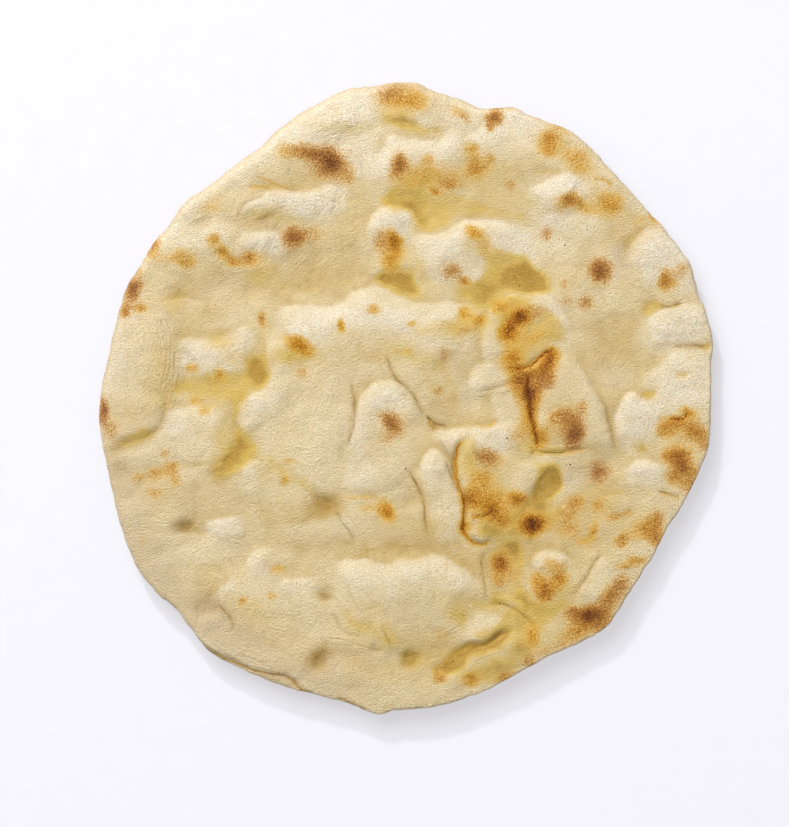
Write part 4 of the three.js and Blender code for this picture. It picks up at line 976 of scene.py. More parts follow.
DUSTINGS = tuple(Dusting(*row) for row in (  # x, y, across, along, flour, dense, deep, dry, turn
    # far side
    (-26, 120, 14, 14, 0.8, 0.1), (-31, 125.5, 20, 6, 2.0, 0.12, 0, 0, 5), (-26, 138, 14, 6, 0.6, 0, 0, 0, 10),
    (6, 130, 14, 6, 0.3), (26, 130, 12, 6, 0.7, 0, 0, 0, -20), (26, 139, 9, 5, 0.7, 0, 0, 0, -20),
    (53, 129, 12, 8, 1.2, 0, 0, 0, -30), (-56, 120, 14, 8, 0.8, 0, 0, 0, 25), (12, 119, 16, 5, 0.6, 0.1),
    (40, 120, 16, 8, 0.6, 0, 0, 0, -20), (5, 104, 16, 6, 0.2, 0.35), (-17, 110, 7, 7, 0.8),
    (50, 110, 10, 6, 0.2, 0.25), (-2, 90, 9, 3, 0, 0.5), (2, 100, 12, 3, 0.2, 0.3), (-4, 134, 9, 3, 0, 0.35),
    (9, 88, 6, 5, 0.1), (28, 88, 13, 5, 0, -0.15, 0.45), (46, 91, 10, 5, 0, -0.3, 0.1, 0, -15), (-46, 90, 18, 5, 1.2),
    (-54, 84, 8, 3, 0, 0.3), (-31, 99, 8, 4, 0.5), (-44, 80, 10, 5, 0.8), (-100, 76, 15, 9, 0.8, 0, 0, 0, 25),
    (-3, 82, 8, 6, 1.5, 0.05), (6, 83, 4, 5, -0.4, 0.4), (50, 72, 14, 7, 1.2, 0, 0, 0, -15),
    (35, 75, 9, 8, 1.9, 0.35), (25, 64, 14, 8, 1.4, 0.2), (66, 80, 12, 8, 0.6, 0, 0, 0, -40),
    (72, 87, 9, 6, 0.5, 0, 0, 0, 10), (68, 101, 13, 6, 0.7), (82, 100, 7, 5, 0.7),
    (-75, 101, 10, 6, 0.3, 0, 0, 0.3, 40), (-66, 88, 14, 4, 0.2, 0.4, 0, 0, 10), (-66, 72, 11, 6, 1.3),
    (104, 79, 10, 12, 0, 0, 0.6, 0, -40), (90, 58, 8, 8, 0, 0, 0.4), (104, 97, 6, 7, 0.2, 0, 0, 0.6, -45),
    (87, 118, 8, 5, 0.2, 0, 0, 0.6, -45), (101, 65, 6, 8, 0.6, 0, 0, 0.8), (119, 83, 6, 5, 0, 0, 0.3, 0.6, -40),
    (124, 65, 11, 9, 1.1), (124, 27, 12, 7, 0.8), (70, 36, 8, 12, 1),
    # middle
    (38, 42, 14, 12, 0, 0.35), (52, 49, 14, 5, 0, 0.2), (38, 28, 14, 9, 0, 0.15), (22, 31, 7, 5, 0, 0.3),
    (56, 56.5, 9, 4.5, 0, 0.9, 0.1), (29, 51, 6, 5, 0, 0.5), (59, 56, 10, 6, 0, 0.7, 0.2, 0, -20),
    (20, 48, 6, 4, 0.5), (1, 60, 12, 10, 0, 0.3), (-4, 54, 9, 5, 0, 0.6, 0, 0, -20), (-68, 60, 9, 7, 0, 0.4),
    (37, 47, 5, 4, 0, 0.4), (-115, 37, 6, 7, 0.3, 0, 0, 0.3), (-87, 50, 12, 7, 0.4, 0, 0, 0.4),
    (-110, 44, 6, 5, 0, 0.4, 1.3, 0, 30), (-58, 45, 9, 4, 0, 0, 0.5), (-46, 53, 20, 5, 0, 0, 0.3, 0, -5),
    (-44, 30, 10, 6, 0.7), (-33, 41, 9, 4, 0.5, -0.3), (-12, 147, 8, 4, 0.3, -0.4), (-30, 31, 10, 4, 0.2, 0.15),
    (-6, 33, 24, 7, 0.6, 0.05), (20, 30, 12, 7, 0.6, 0.1), (-38, 20, 26, 6, 0, 0.25), (-57, 20, 8, 5, 0, 0.4),
    (-8, 20, 10, 5, 0, 0.25), (8, 27, 10, 7, 0.5, 0.1), (-90, 16, 14, 6, 1.3, 0.15), (-88, 10, 8, 3, 0, 0.3),
    (-87, 27, 9, 4, -0.5, 0.35, 0, 0, 10), (-80, 20, 8, 5, 0.4, 0.3), (-69, 12, 6, 8, 0, 0.65),
    (-79, -3, 5, 6, 0, 0.3), (-116, 8, 8, 18, 0, 0.25, 0.4), (-126, -9, 12, 9, 0, 0.2, 0.8, 0, -30),
    (-132, -21, 9, 4, 0, 0, 0.9, 0, 20), (-113, -12, 9, 7, 0.8), (-95, -17, 8, 7, 0, 0.2), (-66, -6, 8, 9, 0.5),
    (-65, -20, 7, 6, 0.5, -0.2), (-128, -19, 9, 2.4, 0, 0.6, 0.5, 0, 22), (-75, -23, 6, 8, 0, 0.6, 0.3, 0, 15),
    (-84, -32, 9, 5, 0, 0.45, 1.3, 0, 25), (-28, 6, 16, 8, 0, 0, 0.25, 0, -20), (-6, -1, 9, 6, 0.5),
    (-8, -32, 7, 6, 0, 0, 0.4), (-27, -20, 6, 10, 0.4), (31, 1, 6, 7, 0.6), (18, -6, 10, 6, 0, -0.1, 0.5),
    (57, 6, 8, 10, 0, 0.4, 0.5), (82, 19, 7, 6, 0, 0, 0.6), (25, -36, 3.5, 8, 0, 0.3, 0.7),
    (30, -26, 5, 9, 0, 0.5, 0.2), (43, -22, 9, 6, 0.8), (71, -25.5, 10, 2.6, 0, 0.5), (57, -23, 5, 4, 0, 0.4),
    (68, -39, 5, 8, 0, 0.9, 0.6, 0, -25), (76, -46, 6, 8, 0.3, -0.4), (46, -46, 8, 8, 0, -0.75),
    (60, -52, 6, 5, 0, 0.9, 1.3, 0, 20), (111, -23, 5, 4, 0, 0.35, 0.3), (134, -21, 5, 4, 0.5),
    (112, -8, 14, 8, 0.8, 0.1), (126, 0, 10, 7, 1), (100, 10, 8, 7, 0.5), (80, -38, 6, 6, 0.6),
    (96, -48, 10, 7, 0, 0.3, 0.25), (46, -61, 12, 5, 0, 0.6, 0.35), (14, -60, 8, 7, 0, 0.35, 0.2),
    # near side
    (50, -70, 14, 6, 0, 0.25, 0.2), (44, -85, 6, 5, 0, -0.5), (73, 127, 10, 6, 0.2, -0.4, 0, 0, -30),
    (43, 137, 8, 4, 0, -0.4), (57, -75, 6, 5, -0.3, 0, 0.6), (36, -79, 12, 6, 0, 0, 0.8),
    (49, -88, 8, 8, 0, -0.3, 0.3), (26, -97, 12, 8, 0, 0.35, 0.3), (41, -99, 7, 4, 0, 0.4), (34, -105, 6, 5, 0, -0.3),
    (39, -112, 8, 5, 0, 0.6), (47, -113, 8, 4, 1.1, -0.1), (58, -95, 6, 6, 0, 0.4, 0.2),
    (24, -123, 7, 4, 0, 0.3, 0.4, 0, 40), (102, -84, 8, 8, 0.4), (48, -126, 12, 6, 1.1, 0.2, 0, 0, 25),
    (55, -118, 5, 4, -0.5, 0.5), (43, -130, 10, 6, 0.3, 0.4, 0, 0, 15), (76, -91, 8, 5, 0, 0.4),
    (-52, -56, 26, 8, 0, 0, 0.45), (-37, -52, 9, 5, 0, 0.1, 0.8, 0, 20), (-8, -60, 14, 6, 0, 0, 0.35),
    (-6, -73, 14, 4, 0, 0, 0.6), (-96, -72, 26, 6, 0.5), (-78, -86, 12, 9, 0.4), (-93, -98, 11, 7, 0, 0, 1, 0, -20),
    (-55, 73, 6, 5, -0.5, 0, 0.6), (-67, 71, 8, 3.5, 0.5, 0.1), (-3, 131, 9, 4, -0.3, 0.35, 0, 0, -5),
    (-18, 133, 8, 4, 0.4), (-60, 126, 8, 4, -0.4, 0, 0.6, 0, 35), (46, -72, 5, 4, 0, 0.3, 0.4),
    (-122, 67, 5, 6, 0, 0, 0.8), (-138, -36, 6, 6, 0, 0, 1), (-82, -32, 5, 6, 0, 0.3, 0.5, 0, 20),
    (53, -55, 4, 4, 0, 0.5), (86, 90, 7, 4, 0, 0.25, 0, 0, -20), (75, 91, 6, 3, 0, 0.2), (57, 14, 6, 4, 0, 0, 0.8),
    (38, -64, 7, 3, 0.3, 0.3), (-88, -89, 9, 5, 0, 0, 0.5), (-46, -80, 10, 5, 0, 0, 0.35),
    (-61, -82, 9, 5, 0, -0.4, 0, 0.6), (-10, -80, 14, 5, 0, 0, 0.3), (-20, -100, 14, 8, 0, 0.25, 0.25),
    (-41, -125, 8, 6, 0, 0, 1, 0, 30), (-34, -125, 5, 5, 0, -0.2, 0, 0.6), (25, -105, 6, 5, 0, 0.3, 0.3),
    (-10, -120, 7, 5, 0.4), (2, -124, 5, 4, 0, 0.3, 0.7), (-7, -117, 7, 4, 0, 0.3), (16, -122, 14, 8, 0, 0.2, 0.2),
    # dry skin around the rim
    (-132, -48, 12, 22, 0, 0, 0, 1, 10), (-120, -80, 12, 22, 0, 0, 0.3, 1, 35),
    (-88, -108, 22, 10, 0, 0, 0, 0.9, -40), (-70, -121, 24, 7, 0, 0, 0.4, 0.9, -25),
    (-30, -136, 34, 6, 0, 0, 0, 0.6, -8), (-136, 20, 8, 18, 0.3, 0, 0, 0.4), (70, -121, 16, 4, 0, 0, 0, 0.5, 20),
    (-121, 68, 5, 6, 0, 0, 0.4), (-5, 149, 18, 3, 0, 0, 0, 0.8),
))


@dataclass(frozen=True)
class Around:
    """A size that changes around the base: bearings in degrees from +X, sizes in millimetres."""

    marks: Line

    def at(self, bearing: np.ndarray) -> np.ndarray:
        """A smooth closed curve through the marks.

        Args:
            bearing: Degrees counter-clockwise from +X.

        Returns:
            The size at each bearing, in millimetres.
        """
        angles = np.array([a for a, _ in self.marks], float)
        radii = np.array([r for _, r in self.marks], float)
        angles = np.concatenate([angles[-2:] - 360, angles, angles[:3] + 360])
        radii = np.concatenate([radii[-2:], radii, radii[:3]])
        slopes = np.zeros_like(radii)
        slopes[1:-1] = (radii[2:] - radii[:-2]) / (angles[2:] - angles[:-2])
        turn = np.mod(bearing, 360.0)
        i = np.searchsorted(angles, turn, side="right") - 1
        span = angles[i + 1] - angles[i]
        t = (turn - angles[i]) / span
        start = (2 * t**3 - 3 * t**2 + 1) * radii[i] + (t**3 - 2 * t**2 + t) * slopes[i] * span
        return start + (3 * t**2 - 2 * t**3) * radii[i + 1] + (t**3 - t**2) * slopes[i + 1] * span

    def box(self) -> tuple[np.ndarray, np.ndarray]:
        """The lowest and highest x and y of an outline with these radii, in millimetres.

        Returns:
            The two corners.
        """
        bearing = np.arange(0.0, 360.0, 0.25)
        points = np.stack(out_from_middle(self.at(bearing), bearing), axis=1)
        return points.min(0), points.max(0)


def out_from_middle(radius: np.ndarray, bearing: np.ndarray) -> Spots:
    """Places at a radius in millimetres and a bearing in degrees from the middle of the base."""
    return Spots(radius * np.cos(np.radians(bearing)), radius * np.sin(np.radians(bearing)))


EDGE = Around((
    (0, 144.9), (6, 145.9), (10, 148), (15, 148.5), (20, 147.7), (25, 149.2), (29, 148.1), (33, 146.9), (40, 145),
    (47, 145.6), (52, 147.3), (58, 149), (66, 146.8), (70, 147.2), (75, 142.5), (80, 144.6), (84, 146), (88, 149.7),
    (92, 150), (96, 149.1), (101, 149.3), (106, 146.3), (110, 144.4), (115, 141.5), (120, 138.1), (130, 137),
    (134, 137.9), (138.5, 140.1), (144, 139.1), (149, 141.1), (153, 140.7), (158, 142.6), (164, 142.1), (172, 142.7),
    (180, 144.9), (185, 145.9), (192, 145.4), (198, 146.3), (204, 148.1), (211, 150.5), (217, 150.4), (223, 148.1),
    (227, 149.5), (232, 152.1), (238, 150.5), (247, 148.4), (257, 147.1), (261, 148.2), (265, 150.9), (268, 148.3),
    (272, 147.9), (280, 145.7), (286, 143.7), (292, 141.2), (298, 140.2), (302, 140.9), (306, 142.9), (311, 144.5),
    (315, 142.8), (320, 140.5), (328, 139.2), (333, 138.7), (338, 140.7), (344, 142.7), (351, 145.7), (355, 145.6),
))


@dataclass(frozen=True)
class Relief:
    """The heights of the crust, from its forms and its unevenness. All in millimetres."""

    level: float = 12.0
    rim_swell: Around = Around(((0, 0.2), (60, 0.7), (110, 1.2), (190, 1.1), (260, 0.4), (320, 0.1)))
    rim_inset: float = 18.0
    rim_reach: float = 22.0
    drift: Drift = Drift(((2.6, 17.0), (1.0, 6.5), (0.9, 3.2)), seed=1, apart=20)
    drawn_share: float = 0.3
    skirt: float = 2.0
    waves: Steps = ((0.7, 32.0), (0.3, 15.0), (0.1, 6.0), (0.05, 2.8))
    wave_seed: int = 40
    puffs: Steps = ((-0.7, 22.0), (-0.35, 10.0))
    puff_seed: int = 50

    def heights(self, at: Spots, inset: np.ndarray) -> np.ndarray:
        """Height of the crust above the table, before the edge rounds it off.

        Args:
            at: The places.
            inset: Their distances in from the outline, in millimetres.

        Returns:
            The heights, in millimetres.
        """
        loose, drawn = self.drift.moved(at), self.drift.moved(at, self.drawn_share)
        swell = np.zeros_like(at.x)
        for form in SWELLINGS:
            found, rise = form.shape(loose)
            swell[found] += rise**3
        ground = self.level + np.cbrt(swell)
        rim = smooth_step(1 - np.abs(inset - self.rim_inset) / self.rim_reach)
        ground += self.rim_swell.at(np.degrees(np.arctan2(at.y, at.x))) * rim
        for form in HOLLOWS:
            found, rise = form.shape(loose)
            ground[found] += rise
        for patch in (patch for patch in PATCHES if patch.rise):
            found, depth = patch.depth(drawn)
            ground[found] += patch.rise * smooth_step((depth + self.skirt) / (patch.slope + self.skirt))
        for form in FOLDS + CREASES:
            found, rise = form.shape(drawn)
            ground[found] += rise
        for seed, (rise, length) in enumerate(self.waves, start=self.wave_seed):
            ground += rise * wander(at, length, seed)
        for seed, (rise, length) in enumerate(self.puffs, start=self.puff_seed):
            ground += rise * (1 - np.sqrt(np.abs(wander(loose, length, seed)) + 0.02))
        return ground


@dataclass(frozen=True)
class Baking:
    """What the oven did: toasted spots, browned creases, dense yellow hollows; and painted shade in the small pits.
    """

    drift: Drift = Drift(((0.9, 6.0), (0.4, 2.4)), seed=60, apart=10)
    most_toast: float = 0.98
    most_flour: float = 1.3
    pit_breadth: float = 7.0
    pit_dark: float = 0.9
    soft_edge: float = 1.0

    def toasting(self, at: Spots) -> tuple[np.ndarray, np.ndarray]:
        """How far each place is toasted, and how amber the toasting is.

        Args:
            at: The places.

        Returns:
            The toasting and its amber share, both 0 to 1.
        """
        at = self.drift.moved(at)
        untouched = np.ones_like(at.x)
        amber = np.zeros_like(at.x)
        weight = np.full_like(at.x, 1e-6)
        for spot in TOASTS:
            found, strength = spot.shape(at)
            untouched[found] *= 1 - np.clip(strength, 0, self.most_toast)
            amber[found] += strength * spot.amber
            weight[found] += strength
        for crease in (crease for crease in CREASES if crease.burn > 0):
            found, strength = crease.browning(at)
            untouched[found] *= 1 - strength
            amber[found] += strength
            weight[found] += strength
        return 1 - untouched, amber / weight

    def dough(self, at: Spots) -> dict[str, np.ndarray]:
        """Which kind of skin the dough has; folds add painted highlight to its flour and painted shade to its deep.

        Args:
            at: The places.

        Returns:
            The shares of flour, dense, deep and dry.
        """
        at = self.drift.moved(at)
        clean, airy, covered = np.ones_like(at.x), np.ones_like(at.x), np.ones_like(at.x)
        for patch in PATCHES:
            found, depth = patch.depth(at)
            share = smooth_step((depth + self.soft_edge) / (patch.edge + self.soft_edge))
            clean[found] *= 1 - patch.flour * share
            airy[found] *= 1 - patch.dense * share
            covered[found] *= 1 - patch.deep * share
        for fold in FOLDS:
            found, flour, deep = fold.skin(at)
            clean[found] *= 1 - flour
            covered[found] *= 1 - deep
        skin = {"flour": 1 - clean, "dense": 1 - airy, "deep": 1 - covered, "dry": np.zeros_like(at.x)}
        for dusting in DUSTINGS:
            found, share = dusting.shape(at)
            for kind, values in skin.items():
                values[found] += getattr(dusting, kind) * share
        most = {"flour": self.most_flour}
        return {kind: np.clip(values, 0, most.get(kind, 1)) for kind, values in skin.items()}

    def pits(self, at: Spots) -> np.ndarray:
        """The painted shade in the small deep hollows.

        Args:
            at: The places.

        Returns:
            The darkness, 0 to 1.
        """
        at = self.drift.moved(at)
        light = np.ones_like(at.x)
        for hollow in (hollow for hollow in HOLLOWS if hollow.across < self.pit_breadth):
            found, rise = hollow.shape(at)
            light[found] *= 1 - np.clip(np.clip(-0.5 * rise, 0, None) ** 1.6, 0, self.pit_dark)
        return 1 - light


# ---------------------------------------------------------------- the skin of dough


@dataclass(frozen=True)
class Rim:
    """How the edge is rounded over and tucked under, which changes around the base. Sizes in millimetres.

    widest is where the edge reaches furthest out, as a share of the crust's height there.
    """

    widest: Around = Around((
        (0, 0.88), (60, 0.74), (120, 0.62), (180, 0.68), (225, 0.85), (260, 0.92), (310, 0.92)))
    round_over: Around = Around((
        (0, 1.8), (45, 3.2), (90, 4.5), (130, 5), (180, 4.2), (225, 3), (265, 1.8), (310, 1.5)))
    tuck: Around = Around(((0, 12), (70, 16), (130, 18), (200, 14), (250, 12), (300, 15)))
    wobble: Steps = ((0.7, 11.0), (0.4, 4.0))
    wobble_seed: int = 30
    steps_above: int = 9
    steps_below: int = 7

    def steps(self) -> list[tuple[float, float]]:
        """The level and the share of the inset of each loop of the rim, from the crust's end to the underside.

        Returns:
            The loops, from above.
        """
        above = [math.pi / 2 * (i + 1) / self.steps_above for i in range(self.steps_above)]
        below = [math.pi / 2 * (i + 1) / self.steps_below for i in range(self.steps_below)]
        return [(math.cos(a), 1 - math.sin(a)) for a in above] + [(-math.sin(a), 1 - math.cos(a)) for a in below]


@dataclass
class Skin:
    """The closed skin of the base, from the crust over the rim to the underside. Sizes in millimetres."""

    outline: Around = EDGE
    rim: Rim = field(default_factory=Rim)
    relief: Relief = field(default_factory=Relief)
    baking: Baking = field(default_factory=Baking)
    crust_cells: int = 272
    under_cells: int = 68
    under_drop: float = -2.0
    under_dimple: float = 0.5
    dimple_length: float = 14.0
    dimple_seed: int = 80
    freckle_seed: int = 90
    # the wide and close means of the height set painted shade in hollows and creases and painted lightening on crests
    wide_rounds: int = 150
    wide_depth: float = 2.0
    close_rounds: int = 14
    close_depth: float = 0.6
    freckle_tone: float = 0.7
    seam_least: float = 0.01

    def build(self) -> bpy.types.Object:
        """Models the skin and writes its painted values.

        Returns:
            The finished object, at the origin, in metres.
        """
        mesh = self.net()
        spot = np.empty(len(mesh.vertices) * 3, np.float32)
        mesh.vertices.foreach_get("co", spot)
        level = self.taken(mesh, "level")
        inset = self.taken(mesh, "inset")
        at, z = self.placed(spot.reshape(-1, 3).astype(float), level, inset)
        self.paint(mesh, at, z, level)
        spots = Place.of(self.outline).metres(at, z)
        mesh.vertices.foreach_set("co", spots.astype(np.float32).ravel())
        self.close(mesh)
        return link(bpy.data.objects.new("baked_base", mesh))

    def net(self) -> bpy.types.Mesh:
        """A round net of faces over crust, rim and underside, one unit in radius.

        Returns:
            The mesh, whose vertices carry a level and an inset and lie on the unit disc.
        """
        bm = bmesh.new()
        level = bm.verts.layers.float.new("level")
        inset = bm.verts.layers.float.new("inset")
        bmesh.ops.create_grid(bm, x_segments=self.under_cells, y_segments=self.under_cells, size=1.0)
        edges = [edge for edge in bm.edges if edge.is_boundary]
        bmesh.ops.subdivide_edges(bm, edges=edges, cuts=self.crust_cells // self.under_cells - 1)
        for vert in bm.verts:
            vert.co = round_off(vert.co) + Vector((0.0, 0.0, self.under_drop))
            vert[level] = -1.0
            vert[inset] = 1.0
        made = bmesh.ops.create_grid(bm, x_segments=self.crust_cells, y_segments=self.crust_cells, size=1.0)
        crust = made["verts"]
        for vert in crust:
            vert.co = round_off(vert.co)
            vert[level] = 1.0
            vert[inset] = 1.0
        loop = [edge for edge in {edge for vert in crust for edge in vert.link_edges} if edge.is_boundary]
        for next_level, next_inset in self.rim.steps():
            made = bmesh.ops.extrude_edge_only(bm, edges=loop)["geom"]
            for vert in (item for item in made if isinstance(item, bmesh.types.BMVert)):
                vert[level] = next_level
                vert[inset] = next_inset
                vert.co.z = next_level - 1.0
            loop = [item for item in made if isinstance(item, bmesh.types.BMEdge) and item.is_boundary]
        meeting = [vert for vert in bm.verts if vert.co.z < self.under_drop + 1e-4]
        bmesh.ops.remove_doubles(bm, verts=meeting, dist=1e-5)
        return as_mesh(bm, "baked_base")

    def placed(self, spot: np.ndarray, level: np.ndarray, inset: np.ndarray) -> tuple[Spots, np.ndarray]:
        """Puts the net's vertices on the base.

        Args:
            spot: Their places on the unit disc.
            level: 1 on the crust, 0 on the rim's widest line, -1 on the table.
            inset: The share of the rim's round-over or tuck that they stand in from the outline.

        Returns:
            Their places and their heights, in millimetres.
        """
        bearing = np.degrees(np.arctan2(spot[:, 1], spot[:, 0]))
        edge = self.outline.at(bearing)
        smooth_edge = out_from_middle(edge, bearing)
        for seed, (push, length) in enumerate(self.rim.wobble, start=self.rim.wobble_seed):
            edge = edge - push * np.abs(wander(smooth_edge, length, seed))
        drawn_in = inset * np.where(level >= 0, self.rim.round_over.at(bearing), self.rim.tuck.at(bearing))
        radius = np.hypot(spot[:, 0], spot[:, 1]) * (edge - drawn_in)
        at = out_from_middle(radius, bearing)
        crust = self.relief.heights(at, edge - radius)
        brim = level < 1
        widest = crust.copy()
        widest[brim] = self.relief.heights(out_from_middle(edge, bearing).where(brim), np.zeros(brim.sum()))
        widest *= self.rim.widest.at(bearing)
        above = widest + level * (crust - widest)
        below = widest * (1 + level)
        lift = self.under_dimple * np.clip(wander(at, self.dimple_length, self.dimple_seed) + 0.2, 0, 1)
        return at, np.where(level >= 0, above, below + lift)

    def taken(self, mesh: bpy.types.Mesh, name: str) -> np.ndarray:
        """Takes one value per vertex off a mesh.

        Args:
            mesh: The mesh.
            name: The value's name.

        Returns:
            The values; the mesh no longer carries them.
        """
        values = np.empty(len(mesh.vertices), np.float32)
        mesh.attributes[name].data.foreach_get("value", values)
        mesh.attributes.remove(mesh.attributes[name])
        return values.astype(float)

    def paint(self, mesh: bpy.types.Mesh, at: Spots, z: np.ndarray, level: np.ndarray) -> None:
        """Writes the values that the crust's finish reads.

        Args:
            mesh: The skin's mesh.
            at: The vertices' places.
            z: Their heights, in millimetres.
            level: 1 on the crust, 0 on the rim's widest line, -1 on the table.
        """
        top = smooth_step(1 + level * 1.2)
        toast, amber = self.baking.toasting(at)
        skin = self.baking.dough(at)
        wide = z - averaged(mesh, z, self.wide_rounds)
        close = z - averaged(mesh, z, self.close_rounds)
        freckles = wander(at, 9.0, self.freckle_seed) + 0.5 * wander(at, 3.5, self.freckle_seed + 1)
        values = {
            "toast": top * toast + (1 - top) * (smooth_step((freckles - 0.25) / 0.5) * self.freckle_tone),
            "amber": top * amber,
            "dense": top * skin["dense"],
            # flour holds real flour and painted light, deep holds bare skin and painted shade
            "flour": top * skin["flour"],
            "deep": top * skin["deep"],
            "pleat": top * self.pleats(mesh, at),
            "line": top * self.seams(mesh, at),
            # painted shade in the hollows and painted lightening on the crests, by the height against its wide mean
            "hollow": np.clip(-wide / self.wide_depth, 0, 1) * top,
            "crest": np.clip(wide / self.wide_depth, 0, 1) * top,
            # painted shade in the creases and in the small pits
            "crease": np.clip(0.3 * np.clip(-close / self.close_depth, 0, 1) + self.baking.pits(at), 0, 1) * top,
            "dry": np.clip(smooth_step(1.6 * (1 - level)) + skin["dry"], 0, 1) * top,
            "top": top,
        }
        for name, value in values.items():
            mesh.attributes.new(name, "FLOAT", "POINT").data.foreach_set("value", value.astype(np.float32))

    def pleats(self, mesh: bpy.types.Mesh, at: Spots) -> np.ndarray:
        """Writes where each place lies in its field of fine wrinkles.

        Args:
            mesh: The skin's mesh.
            at: The vertices' places.

        Returns:
            How strong the wrinkles are, 0 to 1.
        """
        strength = np.zeros_like(at.x)
        run = np.zeros((len(at.x), 3), np.float32)
        for field_number, pleats in enumerate(PLEATS):
            found, strong, across, along = pleats.shape(at)
            wins = strong > strength[found]
            chosen = np.flatnonzero(found)[wins]
            strength[chosen] = strong[wins]
            run[chosen] = np.stack([across[wins], along[wins], np.full(wins.sum(), 10.0 * field_number)], axis=1)
        mesh.attributes.new("pleat_run", "FLOAT_VECTOR", "POINT").data.foreach_set("vector", run.ravel())
        return strength

    def seams(self, mesh: bpy.types.Mesh, at: Spots) -> np.ndarray:
        """Writes how far each place lies from its crease, positive on one side.

        Args:
            mesh: The skin's mesh.
            at: The vertices' places.

        Returns:
            How dark the crease's seam of painted shade is, 0 to 1.
        """
        strength = np.zeros_like(at.x)
        beside = np.full_like(at.x, 9.0)
        at = self.relief.drift.moved(at, self.relief.drawn_share)
        for crease in CREASES:
            found, distance, strong = crease.seam_beside(at)
            wins = (strong > self.seam_least) & (np.abs(distance) < np.abs(beside[found]))
            chosen = np.flatnonzero(found)[wins]
            strength[chosen] = strong[wins]
            beside[chosen] = distance[wins]
        mesh.attributes.new("line_beside", "FLOAT", "POINT").data.foreach_set("value", beside.astype(np.float32))
        return strength

    def close(self, mesh: bpy.types.Mesh) -> None:
        """Turns all faces outwards and shades them smooth.

        Args:
            mesh: The skin's mesh, in place.
        """
        bm = bmesh.new()
        bm.from_mesh(mesh)
        bmesh.ops.recalc_face_normals(bm, faces=bm.faces)
        for face in bm.faces:
            face.smooth = True
        bm.to_mesh(mesh)
        bm.free()


@dataclass(frozen=True)
class Place:
    """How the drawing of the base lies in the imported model: its middle in millimetres, its scale and its place."""

    middle: tuple[float, float]
    grow: float
    centre: tuple[float, float]

    @classmethod
    def of(cls, outline: Around) -> Place:
        """Fits the outline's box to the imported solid's.

        Args:
            outline: The base's outline.

        Returns:
            The fit.
        """
        low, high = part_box(NODE)
        flat_low, flat_high = outline.box()
        middle = (flat_low + flat_high) / 2
        centre = (low + high) / 2
        grow = (high.y - low.y) / (flat_high[1] - flat_low[1])
        return cls((middle[0], middle[1]), grow, (centre.x, centre.y))

    def metres(self, at: Spots, z: np.ndarray) -> np.ndarray:
        """Turns places and heights in the drawing's millimetres into the model's metres.

        Args:
            at: The places.
            z: Their heights.

        Returns:
            One row of x, y and z each.
        """
        across = self.centre[0] + (at.x - self.middle[0]) * self.grow
        along = self.centre[1] + (at.y - self.middle[1]) * self.grow
        return np.stack([across, along, z * MM], axis=-1)

    def over(self, x: float, y: float, height: float) -> Vector:
        """The point in metres over a place in the drawing, at a height in millimetres."""
        return Vector(self.metres(Spots(np.array([x]), np.array([y])), np.array([height]))[0])


def round_off(corner: Vector) -> Vector:
    """Moves a place on a square, two units wide, to the disc that fits it, keeping areas even.

    Args:
        corner: The place on the square.

    Returns:
        The place on the disc, at height 0.
    """
    u, v = corner.x, corner.y
    if abs(u) < 1e-9 and abs(v) < 1e-9:
        return Vector((0.0, 0.0, 0.0))
    if abs(u) > abs(v):
        radius, angle = u, math.pi / 4 * v / u
    else:
        radius, angle = v, math.pi / 2 - math.pi / 4 * u / v
    return Vector((radius * math.cos(angle), radius * math.sin(angle), 0.0))


def averaged(mesh: bpy.types.Mesh, values: np.ndarray, rounds: int) -> np.ndarray:
    """Spreads values over a mesh by taking the mean with the neighbours, again and again.

    Args:
        mesh: The mesh whose edges say which vertices are neighbours.
        values: One value per vertex.
        rounds: How many times the mean is taken.

    Returns:
        The evened values.
    """
    ends = np.empty(len(mesh.edges) * 2, np.int32)
    mesh.edges.foreach_get("vertices", ends)
    a, b = ends.reshape(-1, 2).T
    count = len(values)
    weight = 1.0 + np.bincount(a, minlength=count) + np.bincount(b, minlength=count)
    for _ in range(rounds):
        total = values + np.bincount(a, values[b], count) + np.bincount(b, values[a], count)
        values = total / weight
    return values


def as_mesh(bm: bmesh.types.BMesh, name: str) -> bpy.types.Mesh:
    """Writes a bmesh to a new mesh and lets it go.

    Args:
        bm: The bmesh.
        name: The mesh's name.

    Returns:
        The mesh.
    """
    mesh = bpy.data.meshes.new(name)
    bm.to_mesh(mesh)
    bm.free()
    return mesh


def link(obj: bpy.types.Object) -> bpy.types.Object:
    """Puts an object in the scene and gives it back."""
    bpy.context.scene.collection.objects.link(obj)
    return obj


# ---------------------------------------------------------------- finishes


def linear(code: str) -> tuple[float, float, float, float]:
    """Turns an sRGB hex colour into linear light.

    Args:
        code: Six hex digits after a #.

    Returns:
        Red, green, blue and alpha.
    """
    parts = [int(code[i : i + 2], 16) / 255 for i in (1, 3, 5)]
    lit = [c / 12.92 if c <= 0.04045 else ((c + 0.055) / 1.055) ** 2.4 for c in parts]
    return (*lit, 1.0)


def add_node(tree: bpy.types.NodeTree, kind: str, settings: dict, links: dict | None = None) -> bpy.types.Node:
    """Adds a node with its settings and links.

    Args:
        tree: The material's node tree.
        kind: The node's type, after the words ShaderNode.
        settings: Values for its properties and inputs, by name or number. A colour is a hex code, and stops
            are a ramp's places and colours.
        links: Outputs to join to its inputs, by name or number.

    Returns:
        The node.
    """
    node = tree.nodes.new("ShaderNode" + kind)
    for name, value in settings.items():
        if name == "stops":
            while len(node.color_ramp.elements) < len(value):
                node.color_ramp.elements.new(1.0)
            for element, (place, colour) in zip(node.color_ramp.elements, value):
                element.position = place
                element.color = linear(colour)
            continue
        if isinstance(value, str) and value.startswith("#"):
            value = linear(value)
        if isinstance(name, str) and hasattr(node, name):
            setattr(node, name, value)
        else:
            node.inputs[name].default_value = value
    for name, output in (links or {}).items():
        tree.links.new(output, node.inputs[name])
    return node


